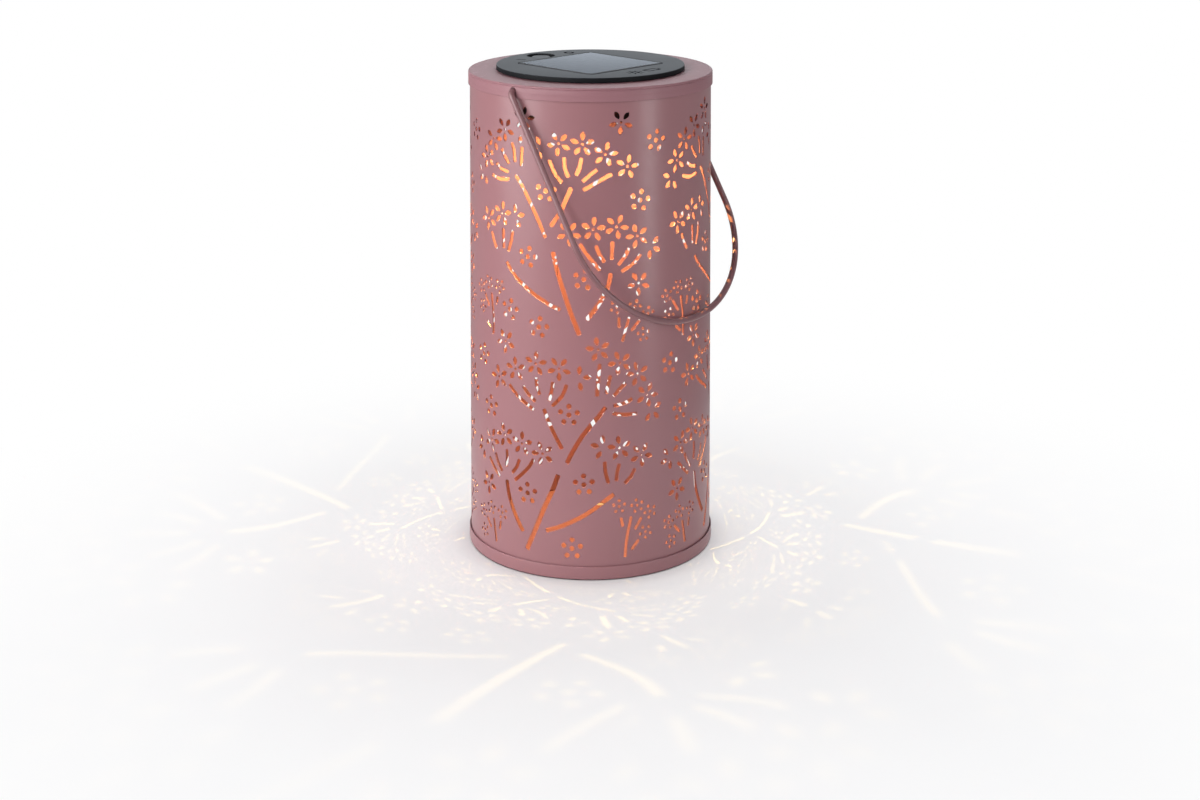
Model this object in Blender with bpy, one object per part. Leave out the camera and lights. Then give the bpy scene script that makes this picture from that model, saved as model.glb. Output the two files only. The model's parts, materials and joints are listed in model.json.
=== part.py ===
"""Solar garden lantern: a rolled and punched sheet-metal tube with a wire bail,
closed by a lid ring and a base plate, holding a lift-out solar module.

Frame: metres, +Z up, origin at the centre of the underside of the base plate.
The bail's hinge axis is X; at rest the bail leans on the -Y side of the tube.
Sizes below are in millimetres and angles in degrees. A height of a module part
is its height in the closed lantern.
"""
import math

import bpy
import bmesh
from mathutils import Matrix, Vector
from mathutils.geometry import delaunay_2d_cdt

MM = 0.001               # one millimetre in metres
SIDES = (-1, 1)          # the -X and +X sides
SMOOTH_ANGLE = 35.0      # edges sharper than this are shaded sharp
PAST = 1.0               # how far a cutter runs past a face it breaks through
EMBED = 0.5              # how far an added solid is sunk into the floor below it

# ---------------------------------------------------------------- tube
TUBE_R = 60.0            # outer radius of the rolled sheet
SHEET = 0.5              # its thickness
TUBE_BOTTOM = 1.1
TUBE_TOP = 235.0
SEAM_AT = -170.0         # degrees round the artwork where the sheet starts
SEAM_GAP = 0.5
SEAM_TONGUE = 8.0        # length of sheet that laps behind the other edge
SEAM_JOGGLE = 0.8        # how far the tongue steps inwards
JOGGLE_RUN = 1.6         # length over which it steps
TONGUE_SETBACK = 1.0     # tongue's distance from the top and bottom edges
SHEET_COLUMNS = 50       # mesh grid on the plain parts of the sheet
SHEET_ROWS = 16
SEAM_ROWS = 8
GRID_CLEAR_SQ = 56       # squared distance kept from grid point to opening corner

# ---------------------------------------------------------------- lid ring, base plate
CAP_SHEET = 0.5
CAP_GAP = 0.3            # between tube and skirt
CAP_R = TUBE_R + CAP_GAP + CAP_SHEET
CAP_FLAT = 0.7           # thickness of the flat part of lid and base
CAP_SEGMENTS = 64
LID_TOP = 236.1
LID_SKIRT = 6.6
LID_HOLE_R = 43.9
LID_NECK = 3.0           # depth of the turned-down edge round the hole
BASE_RIM = 6.4
BASE_HOLE_R = 2.5
BASE_HOLE_CIRCLE = 38
BASE_HOLE_ANGLES = (30, 150, 270)

# ---------------------------------------------------------------- bail
WIRE_R = 1.5             # bail wire radius
PIVOT_Z = 232.8
BAIL_HALF = 63.0         # half the distance between the bail's legs
BAIL_REACH = 128.5       # pivot to the bottom of the bail
BAIL_LEG = 78.5          # straight part of each leg
BAIL_SKEW = 1.7          # sideways set of the bent wire at its far end
BAIL_REST = 28.8         # degrees from hanging straight down
BAIL_BEND = 2.6          # bend radius between hinge end and leg
BAIL_END_X = 51.0        # where the hinge ends stop inside the tube
BAIL_HOLE_R = 1.95       # holes in the tube
BAIL_HOLE_DROP = 0.2     # hole centre below the pivot
BAIL_NOTCH_R = WIRE_R + 0.3    # holes in the lid skirt
BAIL_NOTCH_X = (59, 62)        # inner and outer end of the notch cutter

# ---------------------------------------------------------------- solar module
MODULE_TURN = -7.7       # the module drops in at this angle
WALL = 1.6
DISC_R = 46.9
DISC_TOP = 238.75
DISC_BOTTOM = 236.4
CAP_UNDERSIDE = 235.0
COLLAR_GAP = 0.5
COLLAR_R = LID_HOLE_R - COLLAR_GAP   # part of the cap that drops into the lid ring
COLLAR_BOTTOM = 230.0
SEAL_GROOVE = (44.5, 46.1)           # inner and outer radius
SEAL_GROOVE_DEPTH = 1.0

PANEL = 51.6             # side of the panel window
PANEL_GAP = 0.4
PANEL_CORNER = 3.0
POCKET_HALF = PANEL / 2 + PANEL_GAP
POCKET_FLOOR = 236.45
POCKET_LIP = 0.6         # chamfer round the pocket
PANEL_WIRE_Y = 14.0      # where the panel's wires pass through the cap

BUTTON_Y = 35.7
BUTTON_R = 4.8
BUTTON_GAP = 0.3
BUTTON_STEM_HOLE_R = 2.0
BUTTON_WELL_FLOOR = 235.6
BUTTON_DISH_R = 7.7
SWITCH_RIB_X = 4.3       # thin ribs on both sides of the switch

HOUSING_GAP = 0.4
HOUSING_R = COLLAR_R - WALL - HOUSING_GAP
HOUSING_TOP = 234.7
HOUSING_BOTTOM = 216.0
FLOOR = HOUSING_BOTTOM + WALL

POSTS = ((33.0, 14.0), (-33.0, 14.0), (19.0, -30.6), (-19.0, -30.6))
POST_R = 2.5             # post under the cap
POST_BOTTOM = 220.4
BOSS_R = 3.4             # boss on the housing floor below each post
BOSS_TOP = 220.1
SCREW_HOLE_R = 1.4
SCREW_HEAD_HOLE_R = 2.6

BOARD_Z = 227.0          # underside of the circuit board
BOARD_TOP = BOARD_Z + 1.4
BOARD_PEGS = [(side * 14.0, 20.0) for side in SIDES]

REFLECTOR_R = 9.3        # mouth of the reflector cone round the lamp
LED_TIP = HOUSING_BOTTOM + 1.4
LED_R = 2.5

BATTERY_Y = -19.0
BATTERY_R = 5.25
BATTERY_Z = 223.3
BOX_HALF = (26.0, 6.85)  # battery box, outer half sizes in X and Y
BOX_WALL = 1.2
BOX_TOP = 228.5
BOX_MOUTH_HALF = (24.3, 5.3)
DOOR_HALF_X = 32.5
DOOR_HALF_Y = 8.0
DOOR_CORNER = 6.0
DOOR_BEVEL = 0.6
DOOR_BOTTOM = 213.9
DOOR_TOP = 215.7
DOOR_SCREWS = [(side * 29.6, BATTERY_Y) for side in SIDES]

# ---------------------------------------------------------------- punched pattern
# The artwork is one panel, repeated round the tube.
# Positions are (degrees round the panel, mm above the base).
PANEL_PITCH = 99.5
PANEL_REPEATS = (0, 1, -1, 2, -2)
ART_ZERO = -52.7         # azimuth of the artwork's zero
ART_BOTTOM = 8.5
ART_TOP = 227.5
ART_MARGIN = 5.0         # plain metal at both ends of the sheet
MIN_BRIDGE = 0.7         # least metal left between two openings
FLOWER_R = 5.3
FLOWER_HEEL = 1.2        # centre to the pointed back of a side flower
SEED_R = 4.6
RAY_WIDTH = 1.8

FLOWERS = [  # degrees, mm, turn of the first petal
    (-31.7, 220, 83), (14, 219.6, 49), (48.9, 208.2, 77), (43.7, 198.5, 108),
    (-43, 213.7, 56), (-14.6, 209.4, 48), (-3.6, 209.4, 88), (6.8, 204.6, 77), (17, 198.3, 78),
    (44.6, 168.8, 47), (-44.8, 172.8, 83),
    (-9.8, 166.8, 59), (1.3, 169, 84), (11.9, 170, 64), (21.8, 164.8, 109),
    (22.5, 142.1, 50), (-42.8, 111, 50),
    (-47.1, 92.6, 105), (-36.7, 98.5, 95), (-25.8, 102.9, 86), (-14.4, 101.6, 54),
    (3.5, 111.4, 101), (13.5, 104.5, 112), (22, 98.4, 103), (26.7, 87.7, 66),
    (46.6, 60.3, 68), (-43.6, 64.8, 106), (-33.2, 62.8, 88), (-22.4, 59.6, 110),
    (13.3, 63.4, 98), (23.9, 59, 60), (44.2, 38.2, 54),
]
SIDE_FLOWERS = [  # seen half-on, only some petals: degrees, mm, petal directions
    (40.8, 190.5, (158, 226, 294)), (-33.5, 213.8, (122, 50, -22, -94)),
    (-22.8, 206.6, (115, 187, 259)), (-37, 172.6, (86, 14, -58)),
    (28.3, 159.2, (42, -26, -94)), (-5.2, 97.4, (86, 10, -80)),
    (29.2, 80, (28, -50, -122)), (39.5, 54.8, (129, 201, 275)), (5.6, 64, (91, 164, 241)),
]
SEED_HEADS = [  # degrees, mm
    (31.3, 209.8), (23.1, 181.9), (-20.6, 186.5), (-29.8, 154), (-3, 145), (-40, 127),
    (-24.2, 120.8), (39.6, 101), (-9.8, 79.6), (46.2, 76.8), (-30.1, 39.2), (-3, 46.1),
    (-8.4, 14.9),
]
RAYS = [  # fine straight stalks that carry the flowers: start, end
    ((-38.6, 207.8), (-36.9, 198.7)), ((-32.8, 206.5), (-33.3, 197)),
    ((-49, 196.5), (-40.8, 193.4)), ((-19, 201.5), (-13, 190.8)),
    ((-11.9, 203), (-9.9, 193.5)), ((-4, 203), (-6.5, 194.5)),
    ((9.7, 195.2), (-3.3, 187.5)), ((47, 162.7), (51, 154.7)),
    ((-38.4, 165.7), (-41, 155)), ((-4.8, 162), (4.4, 149.5)),
    ((10, 163), (9.7, 154.3)), ((17.6, 159.5), (12.7, 151.6)),
    ((-40.5, 90.3), (-26.8, 80.3)), ((-25.6, 96.2), (-23.7, 88)),
    ((-17.3, 95), (-19.2, 85.7)), ((4.3, 104.5), (3, 88.7)),
    ((16.3, 94.8), (10.5, 88.5)), ((21.8, 79.3), (10, 80.3)),
    ((-54.8, 51), (-47, 43.5)), ((-42.2, 58), (-42.6, 49.3)),
    ((-26.9, 56.3), (-37.3, 44)), ((6.5, 57.2), (8.3, 46.5)),
    ((20.7, 52.7), (15.7, 46)),
]
STEMS = [  # width in mm, then the chain of points
    (1.9, ((-36.5, 192.5), (-30, 183), (-25, 173.5), (-20.8, 164))),
    (2.0, ((-8.7, 188.7), (-13.7, 177), (-18.3, 169.7))),
    (2.3, ((-17.3, 157.7), (-12, 138), (-5, 118.3))),
    (1.9, ((-42, 149.7), (-32, 140), (-22, 133.8), (-13.8, 130))),
    (2.2, ((9.2, 147.8), (6, 137), (-1.8, 125.6))),
    (2.0, ((-21.7, 81.5), (-17, 70.5), (-12.9, 62.8))),
    (2.2, ((7, 83.5), (0, 74.5), (-8, 62), (-10.8, 56))),
    (2.3, ((-42.1, 43), (-39.8, 33), (-32.5, 20))),
    (2.4, ((-14.8, 50.3), (-21.5, 33.5), (-30.5, 11.5))),
    (2.1, ((-20.8, 22.4), (-9, 27.6), (2, 34.5), (10.8, 41.2))),
    (1.6, ((19, 29.5), (17, 20), (16, 10))), (1.6, ((24.2, 28.5), (20.7, 23))),
    (1.6, ((17.9, 126.3), (14.6, 114.7))), (1.6, ((23, 124.4), (18.8, 119.5))),
    (1.6, ((46.6, 132.5), (48.2, 121), (48, 112.6))), (1.6, ((43, 118.2), (46.5, 115.3))),
    (1.6, ((48, 21.5), (50, 10.3))), (1.6, ((42.3, 20.6), (46.2, 16.2))),
]

# ---------------------------------------------------------------- materials
PAINT = (0.306, 0.160, 0.178)
MATERIALS = {  # name: (red, green, blue), roughness, metallic
    "powder_coat": (PAINT, 0.42, 0.0),
    "powder_coat_lid": ((0.330, 0.200, 0.240), 0.40, 0.0),
    "powder_coat_base": (PAINT, 0.45, 0.0),
    "wire_coat": ((0.26, 0.15, 0.175), 0.38, 0.0),
    "black_abs": ((0.018, 0.016, 0.019), 0.38, 0.0),
    "black_abs_cup": ((0.022, 0.021, 0.022), 0.5, 0.0),
    "black_abs_door": ((0.020, 0.020, 0.021), 0.5, 0.0),
    "photovoltaic_cell": ((0.035, 0.045, 0.075), 0.25, 0.3),
    "clear_cover": ((0.55, 0.58, 0.62), 0.12, 0.0),
    "foam_tape": ((0.70, 0.70, 0.68), 0.9, 0.0),
    "black_rubber": ((0.015, 0.015, 0.015), 0.85, 0.0),
    "silicone_seal": ((0.25, 0.25, 0.25), 0.7, 0.0),
    "led_grommet": ((0.02, 0.02, 0.02), 0.8, 0.0),
    "grey_button": ((0.36, 0.36, 0.37), 0.5, 0.0),
    "zinc_screw": ((0.60, 0.60, 0.58), 0.32, 1.0),
    "nickel_spring": ((0.66, 0.64, 0.60), 0.25, 1.0),
    "nickel_plate": ((0.66, 0.63, 0.58), 0.28, 1.0),
    "circuit_board": ((0.02, 0.13, 0.05), 0.4, 0.0),
    "chip_black": ((0.02, 0.02, 0.02), 0.5, 0.0),
    "ferrite_coil": ((0.05, 0.05, 0.05), 0.6, 0.0),
    "white_reflector": ((0.80, 0.80, 0.78), 0.35, 0.0),
    "led_lens": ((0.95, 0.80, 0.45), 0.08, 0.0),
    "switch_body": ((0.04, 0.04, 0.05), 0.45, 0.0),
    "battery_sleeve": ((0.05, 0.22, 0.10), 0.3, 0.0),
    "red_wire": ((0.45, 0.02, 0.02), 0.45, 0.0),
    "black_wire": ((0.02, 0.02, 0.02), 0.45, 0.0),
    "grey_wire": ((0.30, 0.30, 0.30), 0.45, 0.0),
}


def make_material(name, colour, roughness, metallic):
    material = bpy.data.materials.new(name)
    material.use_nodes = True
    shader = material.node_tree.nodes["Principled BSDF"]
    shader.inputs["Base Color"].default_value = (*colour, 1)
    shader.inputs["Roughness"].default_value = roughness
    shader.inputs["Metallic"].default_value = metallic
    material.diffuse_color = (*colour, 1)


# ---------------------------------------------------------------- objects
def shade(mesh, angle):
    mesh.shade_smooth()
    mesh.set_sharp_from_angle(angle=math.radians(angle))


def add(name, shape, material=None, smooth=SMOOTH_ANGLE):
    """Turn a bmesh into a scene object; material is a name from MATERIALS."""
    bmesh.ops.recalc_face_normals(shape, faces=shape.faces[:])
    mesh = bpy.data.meshes.new(name)
    shape.to_mesh(mesh)
    shape.free()
    shade(mesh, smooth)
    part = bpy.data.objects.new(name, mesh)
    bpy.context.scene.collection.objects.link(part)
    if material:
        mesh.materials.append(bpy.data.materials[material])
    return part


def add_empty(name, location, parent=None):
    """Empty at a place given in mm in its parent's frame."""
    empty = bpy.data.objects.new(name, None)
    bpy.context.scene.collection.objects.link(empty)
    empty.location = Vector(location) * MM
    empty.parent = parent
    return empty


def boolean(part, operation, tool):
    """Apply an exact Boolean to part, then remove the tool object."""
    modifier = part.modifiers.new("bool", "BOOLEAN")
    modifier.operation = operation
    modifier.solver = "EXACT"
    modifier.object = tool
    depsgraph = bpy.context.evaluated_depsgraph_get()
    mesh = bpy.data.meshes.new_from_object(part.evaluated_get(depsgraph))
    part.modifiers.clear()
    part.data = mesh
    bpy.data.objects.remove(tool, do_unlink=True)
    # weld slivers left by the Boolean; distances in metres
    shape = bmesh.new()
    shape.from_mesh(mesh)
    bmesh.ops.remove_doubles(shape, verts=shape.verts[:], dist=2e-6)
    bmesh.ops.dissolve_degenerate(shape, edges=shape.edges[:], dist=1e-6)
    shape.to_mesh(mesh)
    shape.free()
    shade(mesh, SMOOTH_ANGLE)


def join(part, *shapes):
    for shape in shapes:
        boolean(part, "UNION", add("tool", shape))


def cut(part, *shapes):
    for shape in shapes:
        boolean(part, "DIFFERENCE", add("tool", shape))


# ---------------------------------------------------------------- shapes
def circle(radius, count, centre=(0.0, 0.0), turn=0.0):
    """Regular outline whose first corner points in the direction turn."""
    points = []
    for k in range(count):
        angle = math.radians(turn + 360 * k / count)
        points.append((centre[0] + radius * math.cos(angle),
                       centre[1] + radius * math.sin(angle)))
    return points


def rounded_rect(half_x, half_y, corner, centre=(0.0, 0.0), steps=4):
    points = []
    for k, (sign_x, sign_y) in enumerate(((1, 1), (-1, 1), (-1, -1), (1, -1))):
        for i in range(steps + 1):
            angle = math.radians(90 * k + 90 * i / steps)
            points.append((centre[0] + sign_x * (half_x - corner) + corner * math.cos(angle),
                           centre[1] + sign_y * (half_y - corner) + corner * math.sin(angle)))
    return points


def lathe(profile, segments):
    """Spin a closed (radius, z) outline about Z. Points at radius 0 become poles."""
    shape = bmesh.new()
    rings = []
    for radius, z in profile:
        outline = circle(radius, segments) if radius else [(0, 0)]
        rings.append([shape.verts.new((x * MM, y * MM, z * MM)) for x, y in outline])
    for low, high in zip(rings, rings[1:] + rings[:1]):
        for i in range(segments):
            j = (i + 1) % segments
            corners = (low[i % len(low)], high[i % len(high)],
                       high[j % len(high)], low[j % len(low)])
            corners = list(dict.fromkeys(corners))
            if len(corners) > 2:
                shape.faces.new(corners)
    return shape


def loft(loops):
    """Closed solid through equal-length loops of (x, y, z), capped at both ends."""
    shape = bmesh.new()
    rings = [[shape.verts.new((x * MM, y * MM, z * MM)) for x, y, z in loop] for loop in loops]
    for low, high in zip(rings, rings[1:]):
        for i in range(len(low)):
            j = (i + 1) % len(low)
            shape.faces.new((low[i], low[j], high[j], high[i]))
    shape.faces.new(rings[0][::-1])
    shape.faces.new(rings[-1])
    return shape


def stack(*levels):
    """Solid through (z, outline) levels."""
    return loft([[(x, y, z) for x, y in outline] for z, outline in levels])


def prism(outline, bottom, top):
    return stack((bottom, outline), (top, outline))


def turned(profile, segments, centre=(0.0, 0.0)):
    """Round solid about a Z axis through (radius, z) stations, with flat ends."""
    return stack(*((z, circle(radius, segments, centre)) for radius, z in profile))


def drum(radius, bottom, top, centre=(0.0, 0.0), segments=24):
    return turned(((radius, bottom), (radius, top)), segments, centre)


def turned_x(stations, segments, y, z):
    """Round solid about an axis along X through (x, radius) stations."""
    return loft([[(x, py, pz) for py, pz in circle(radius, segments, (y, z))]
                 for x, radius in stations])


def sweep(points, radius, sides):
    """Round bar along a chain of points."""
    points = [Vector(point) for point in points]
    last = len(points) - 1
    tangents = [(points[min(i + 1, last)] - points[max(i - 1, 0)]).normalized()
                for i in range(len(points))]
    across = tangents[0].orthogonal().normalized()
    loops = []
    for i, (point, tangent) in enumerate(zip(points, tangents)):
        if i:
            across = tangents[i - 1].rotation_difference(tangent) @ across
        across = (across - tangent * across.dot(tangent)).normalized()
        other = tangent.cross(across)
        loops.append([tuple(point + radius * (math.cos(2 * math.pi * k / sides) * across
                                              + math.sin(2 * math.pi * k / sides) * other))
                      for k in range(sides)])
    return loft(loops)


def bezier(start, pull_start, pull_end, end, steps):
    points = []
    for i in range(steps + 1):
        t = i / steps
        weights = ((1 - t) ** 3, 3 * (1 - t) ** 2 * t, 3 * (1 - t) * t * t, t ** 3)
        points.append(tuple(sum(weight * value for weight, value in zip(weights, values))
                            for values in zip(start, pull_start, pull_end, end)))
    return points


def add_frame(name, outer, inner, bottom, top, material=None):
    """Flat frame between two outlines."""
    part = add(name, prism(outer, bottom, top), material)
    cut(part, prism(inner, bottom - PAST, top + PAST))
    return part


# ---------------------------------------------------------------- openings in the sheet
def to_sheet(degrees, z):
    """Artwork position to (distance along the flat sheet, height)."""
    return (math.radians(degrees - SEAM_AT) * TUBE_R, z)


def slot(points, width):
    """Outline of constant width along a chain on the flat sheet."""
    left, right = [], []
    last = len(points) - 1
    for i, (x, z) in enumerate(points):
        tangent = (Vector(points[min(i + 1, last)]) - Vector(points[max(i - 1, 0)])).normalized()
        offset = Vector((-tangent.y, tangent.x)) * width / 2
        left.append((x + offset.x, z + offset.y))
        right.append((x - offset.x, z - offset.y))
    return right + left[::-1]


def side_flower(centre, directions):
    """Petal tips of a half-open flower and one point behind its centre."""
    x, z = centre
    back = math.radians(sum(directions) / len(directions) + 180)
    tips = [(x + FLOWER_R * math.cos(math.radians(direction)),
             z + FLOWER_R * math.sin(math.radians(direction)))
            for direction in sorted(directions)]
    return tips + [(x + FLOWER_HEEL * math.cos(back), z + FLOWER_HEEL * math.sin(back))]


def art_openings(shift):
    """Outlines of one artwork panel, shifted round the tube by some degrees."""
    def chain(points):
        return [to_sheet(degrees + shift, z) for degrees, z in points]

    return ([circle(FLOWER_R, 5, to_sheet(degrees + shift, z), turn)
             for degrees, z, turn in FLOWERS]
            + [side_flower(to_sheet(degrees + shift, z), directions)
               for degrees, z, directions in SIDE_FLOWERS]
            + [circle(SEED_R, 5, centre, 90) for centre in chain(SEED_HEADS)]
            + [slot(chain(points), width) for width, points in STEMS]
            + [slot(chain(points), RAY_WIDTH) for points in RAYS])


def sides_of(outline):
    return zip(outline, outline[1:] + outline[:1])


def segment_distance(point, start, end):
    along = end - start
    t = max(0.0, min(1.0, (point - start).dot(along) / along.length_squared))
    return (point - (start + t * along)).length


def gap(first, second):
    """Least distance from the corners of either outline to the other outline."""
    best = math.inf
    for corners, outline in ((first, second), (second, first)):
        outline = [Vector(point) for point in outline]
        for corner in corners:
            for start, end in sides_of(outline):
                best = min(best, segment_distance(Vector(corner), start, end))
    return best


def inside(point, outline):
    x, z = point
    hit = False
    for (x1, z1), (x2, z2) in sides_of(outline):
        if (z1 > z) != (z2 > z) and x < (x2 - x1) * (z - z1) / (z2 - z1) + x1:
            hit = not hit
    return hit


def bounds(outline):
    along, heights = zip(*outline)
    return min(along), max(along), min(heights), max(heights)


def boxes_near(first, second, reach=1):
    """Whether two boxes come within reach, which must exceed MIN_BRIDGE."""
    return not (first[0] - reach > second[1] or second[0] - reach > first[1]
                or first[2] - reach > second[3] or second[2] - reach > first[3])


def clashes(outline, other):
    return (gap(outline, other) < MIN_BRIDGE
            or inside(outline[0], other) or inside(other[0], outline))


def place_openings(length, bail_holes):
    """Repeat the artwork round the sheet, keeping a bridge of metal between openings."""
    kept = [(outline, bounds(outline)) for outline in bail_holes]
    for repeat in PANEL_REPEATS:
        for outline in art_openings(repeat * PANEL_PITCH):
            box = bounds(outline)
            if (box[0] < ART_MARGIN or box[1] > length - ART_MARGIN
                    or box[2] < ART_BOTTOM or box[3] > ART_TOP):
                continue
            if not any(boxes_near(box, other_box) and clashes(outline, other)
                       for other, other_box in kept):
                kept.append((outline, box))
    return [outline for outline, _ in kept]


# ---------------------------------------------------------------- tube
def sheet_triangles(length, openings):
    """Triangulate the flat sheet; returns its points and triangles."""
    height = TUBE_TOP - TUBE_BOTTOM
    step = length / SHEET_COLUMNS
    fold = length + JOGGLE_RUN
    tongue_bottom = TUBE_BOTTOM + TONGUE_SETBACK
    tongue_top = TUBE_TOP - TONGUE_SETBACK
    border = [(i * step, TUBE_BOTTOM) for i in range(SHEET_COLUMNS + 1)]
    border += [(fold, tongue_bottom), (length + SEAM_TONGUE, tongue_bottom),
               (length + SEAM_TONGUE, tongue_top), (fold, tongue_top)]
    border += [(i * step, TUBE_TOP) for i in range(SHEET_COLUMNS, -1, -1)]

    points, loops = [], []
    for outline in [border] + openings:
        loops.append(list(range(len(points), len(points) + len(outline))))
        points.extend(Vector(point) for point in outline)

    # extra points where the sheet is plain, so it still follows the curve
    corners = [corner for outline in openings for corner in outline]
    for i in range(1, SHEET_COLUMNS):
        for j in range(1, SHEET_ROWS):
            x, z = i * step, TUBE_BOTTOM + j * height / SHEET_ROWS
            if any((x - cx) ** 2 + (z - cz) ** 2 < GRID_CLEAR_SQ for cx, cz in corners):
                continue
            if not any(inside((x, z), outline) for outline in openings):
                points.append(Vector((x, z)))
    for j in range(1, SEAM_ROWS):
        z = TUBE_BOTTOM + j * height / SEAM_ROWS
        points += [Vector((length, z)), Vector((fold, z))]

    # output type 1 keeps what lies inside the loops; the last value is the tolerance
    points, _, faces, _, _, sources = delaunay_2d_cdt(points, [], loops, 1, 1e-5)
    # metal lies in loop 0, the border, and in no opening
    triangles = [tuple(face) for face, source in zip(faces, sources) if list(source) == [0]]
    return points, triangles


def punched_tube():
    length = 2 * math.pi * TUBE_R - SEAM_GAP
    bail_holes = []
    for azimuth in (-90.0, 90.0):
        along, z = to_sheet(azimuth - ART_ZERO, PIVOT_Z - BAIL_HOLE_DROP)
        bail_holes.append(circle(BAIL_HOLE_R, 12, (along % (2 * math.pi * TUBE_R), z)))
    points, triangles = sheet_triangles(length, place_openings(length, bail_holes))

    def rolled(point, depth):
        along, z = point
        joggle = SEAM_JOGGLE * max(0.0, min(1.0, (along - length) / JOGGLE_RUN))
        radius = (TUBE_R - depth - joggle) * MM
        angle = math.radians(SEAM_AT + ART_ZERO) + along / TUBE_R
        return (radius * math.sin(angle), -radius * math.cos(angle), z * MM)

    shape = bmesh.new()
    used = sorted({i for triangle in triangles for i in triangle})
    outer = {i: shape.verts.new(rolled(points[i], 0.0)) for i in used}
    inner = {i: shape.verts.new(rolled(points[i], SHEET)) for i in used}
    edges = []
    for triangle in triangles:
        shape.faces.new([outer[i] for i in triangle])
        shape.faces.new([inner[i] for i in reversed(triangle)])
        edges += sides_of(triangle)
    # an edge used in one direction only is a cut edge of the sheet
    known = set(edges)
    for start, end in edges:
        if (end, start) not in known:
            shape.faces.new((outer[end], outer[start], inner[start], inner[end]))
    return shape


# ---------------------------------------------------------------- lid, base and bail
def add_lid_ring():
    inside_r = CAP_R - CAP_SHEET
    neck_r = LID_HOLE_R + CAP_SHEET
    lid = add("lid_ring", lathe([
        (LID_HOLE_R, LID_TOP), (CAP_R - 0.8, LID_TOP),
        (CAP_R - 0.22, LID_TOP - 0.22), (CAP_R, LID_TOP - 0.8),
        (CAP_R, LID_TOP - LID_SKIRT), (inside_r, LID_TOP - LID_SKIRT),
        (inside_r, LID_TOP - CAP_FLAT), (neck_r, LID_TOP - CAP_FLAT),
        (neck_r, LID_TOP - LID_NECK), (LID_HOLE_R, LID_TOP - LID_NECK),
    ], CAP_SEGMENTS), "powder_coat_lid")
    cut(lid, *[turned_x([(side * x, BAIL_NOTCH_R) for x in BAIL_NOTCH_X], 20, 0, PIVOT_Z)
               for side in SIDES])


def add_base_plate():
    base = add("base_plate", turned([
        (CAP_R - 1.0, 0), (CAP_R - 0.28, 0.28), (CAP_R, 1.0), (CAP_R, BASE_RIM),
        (CAP_R - CAP_SHEET, BASE_RIM), (CAP_R - CAP_SHEET, CAP_FLAT),
    ], CAP_SEGMENTS), "powder_coat_base")
    for degrees in BASE_HOLE_ANGLES:
        angle = math.radians(degrees)
        centre = (BASE_HOLE_CIRCLE * math.cos(angle), BASE_HOLE_CIRCLE * math.sin(angle))
        cut(base, drum(BASE_HOLE_R, -PAST, CAP_FLAT + PAST, centre, 16))


def bail_path():
    """Centre line of the bail about its pivot, leaning at its rest angle."""
    def skewed(x, down):
        return (x + BAIL_SKEW * down / BAIL_REACH, down)

    def leg(side):
        """(x, distance down) from the hinge end to the start of the bow."""
        bend_x = BAIL_HALF - BAIL_BEND
        run = [(side * BAIL_END_X, 0.0), (side * (BAIL_END_X + 4), 0.0), (side * bend_x, 0.0)]
        for i in range(1, 6):
            angle = math.radians(90 * i / 5)
            run.append((side * (bend_x + BAIL_BEND * math.sin(angle)),
                        BAIL_BEND - BAIL_BEND * math.cos(angle)))
        for k in range(1, 4):
            run.append(skewed(side * BAIL_HALF, BAIL_BEND + (BAIL_LEG - BAIL_BEND) * k / 3))
        return run

    bow = []
    for i in range(1, 24):
        angle = math.pi * i / 24
        bow.append(skewed(-BAIL_HALF * math.cos(angle),
                          BAIL_LEG + (BAIL_REACH - BAIL_LEG) * math.sin(angle)))
    lean = math.radians(BAIL_REST)
    return [(x, -down * math.sin(lean), -down * math.cos(lean))
            for x, down in leg(-1) + bow + leg(1)[::-1]]


def add_handle():
    handle = add("handle", sweep(bail_path(), WIRE_R, 10), "wire_coat", 40)
    handle.parent = add_empty("handle_pivot", (0, 0, PIVOT_Z))


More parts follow.
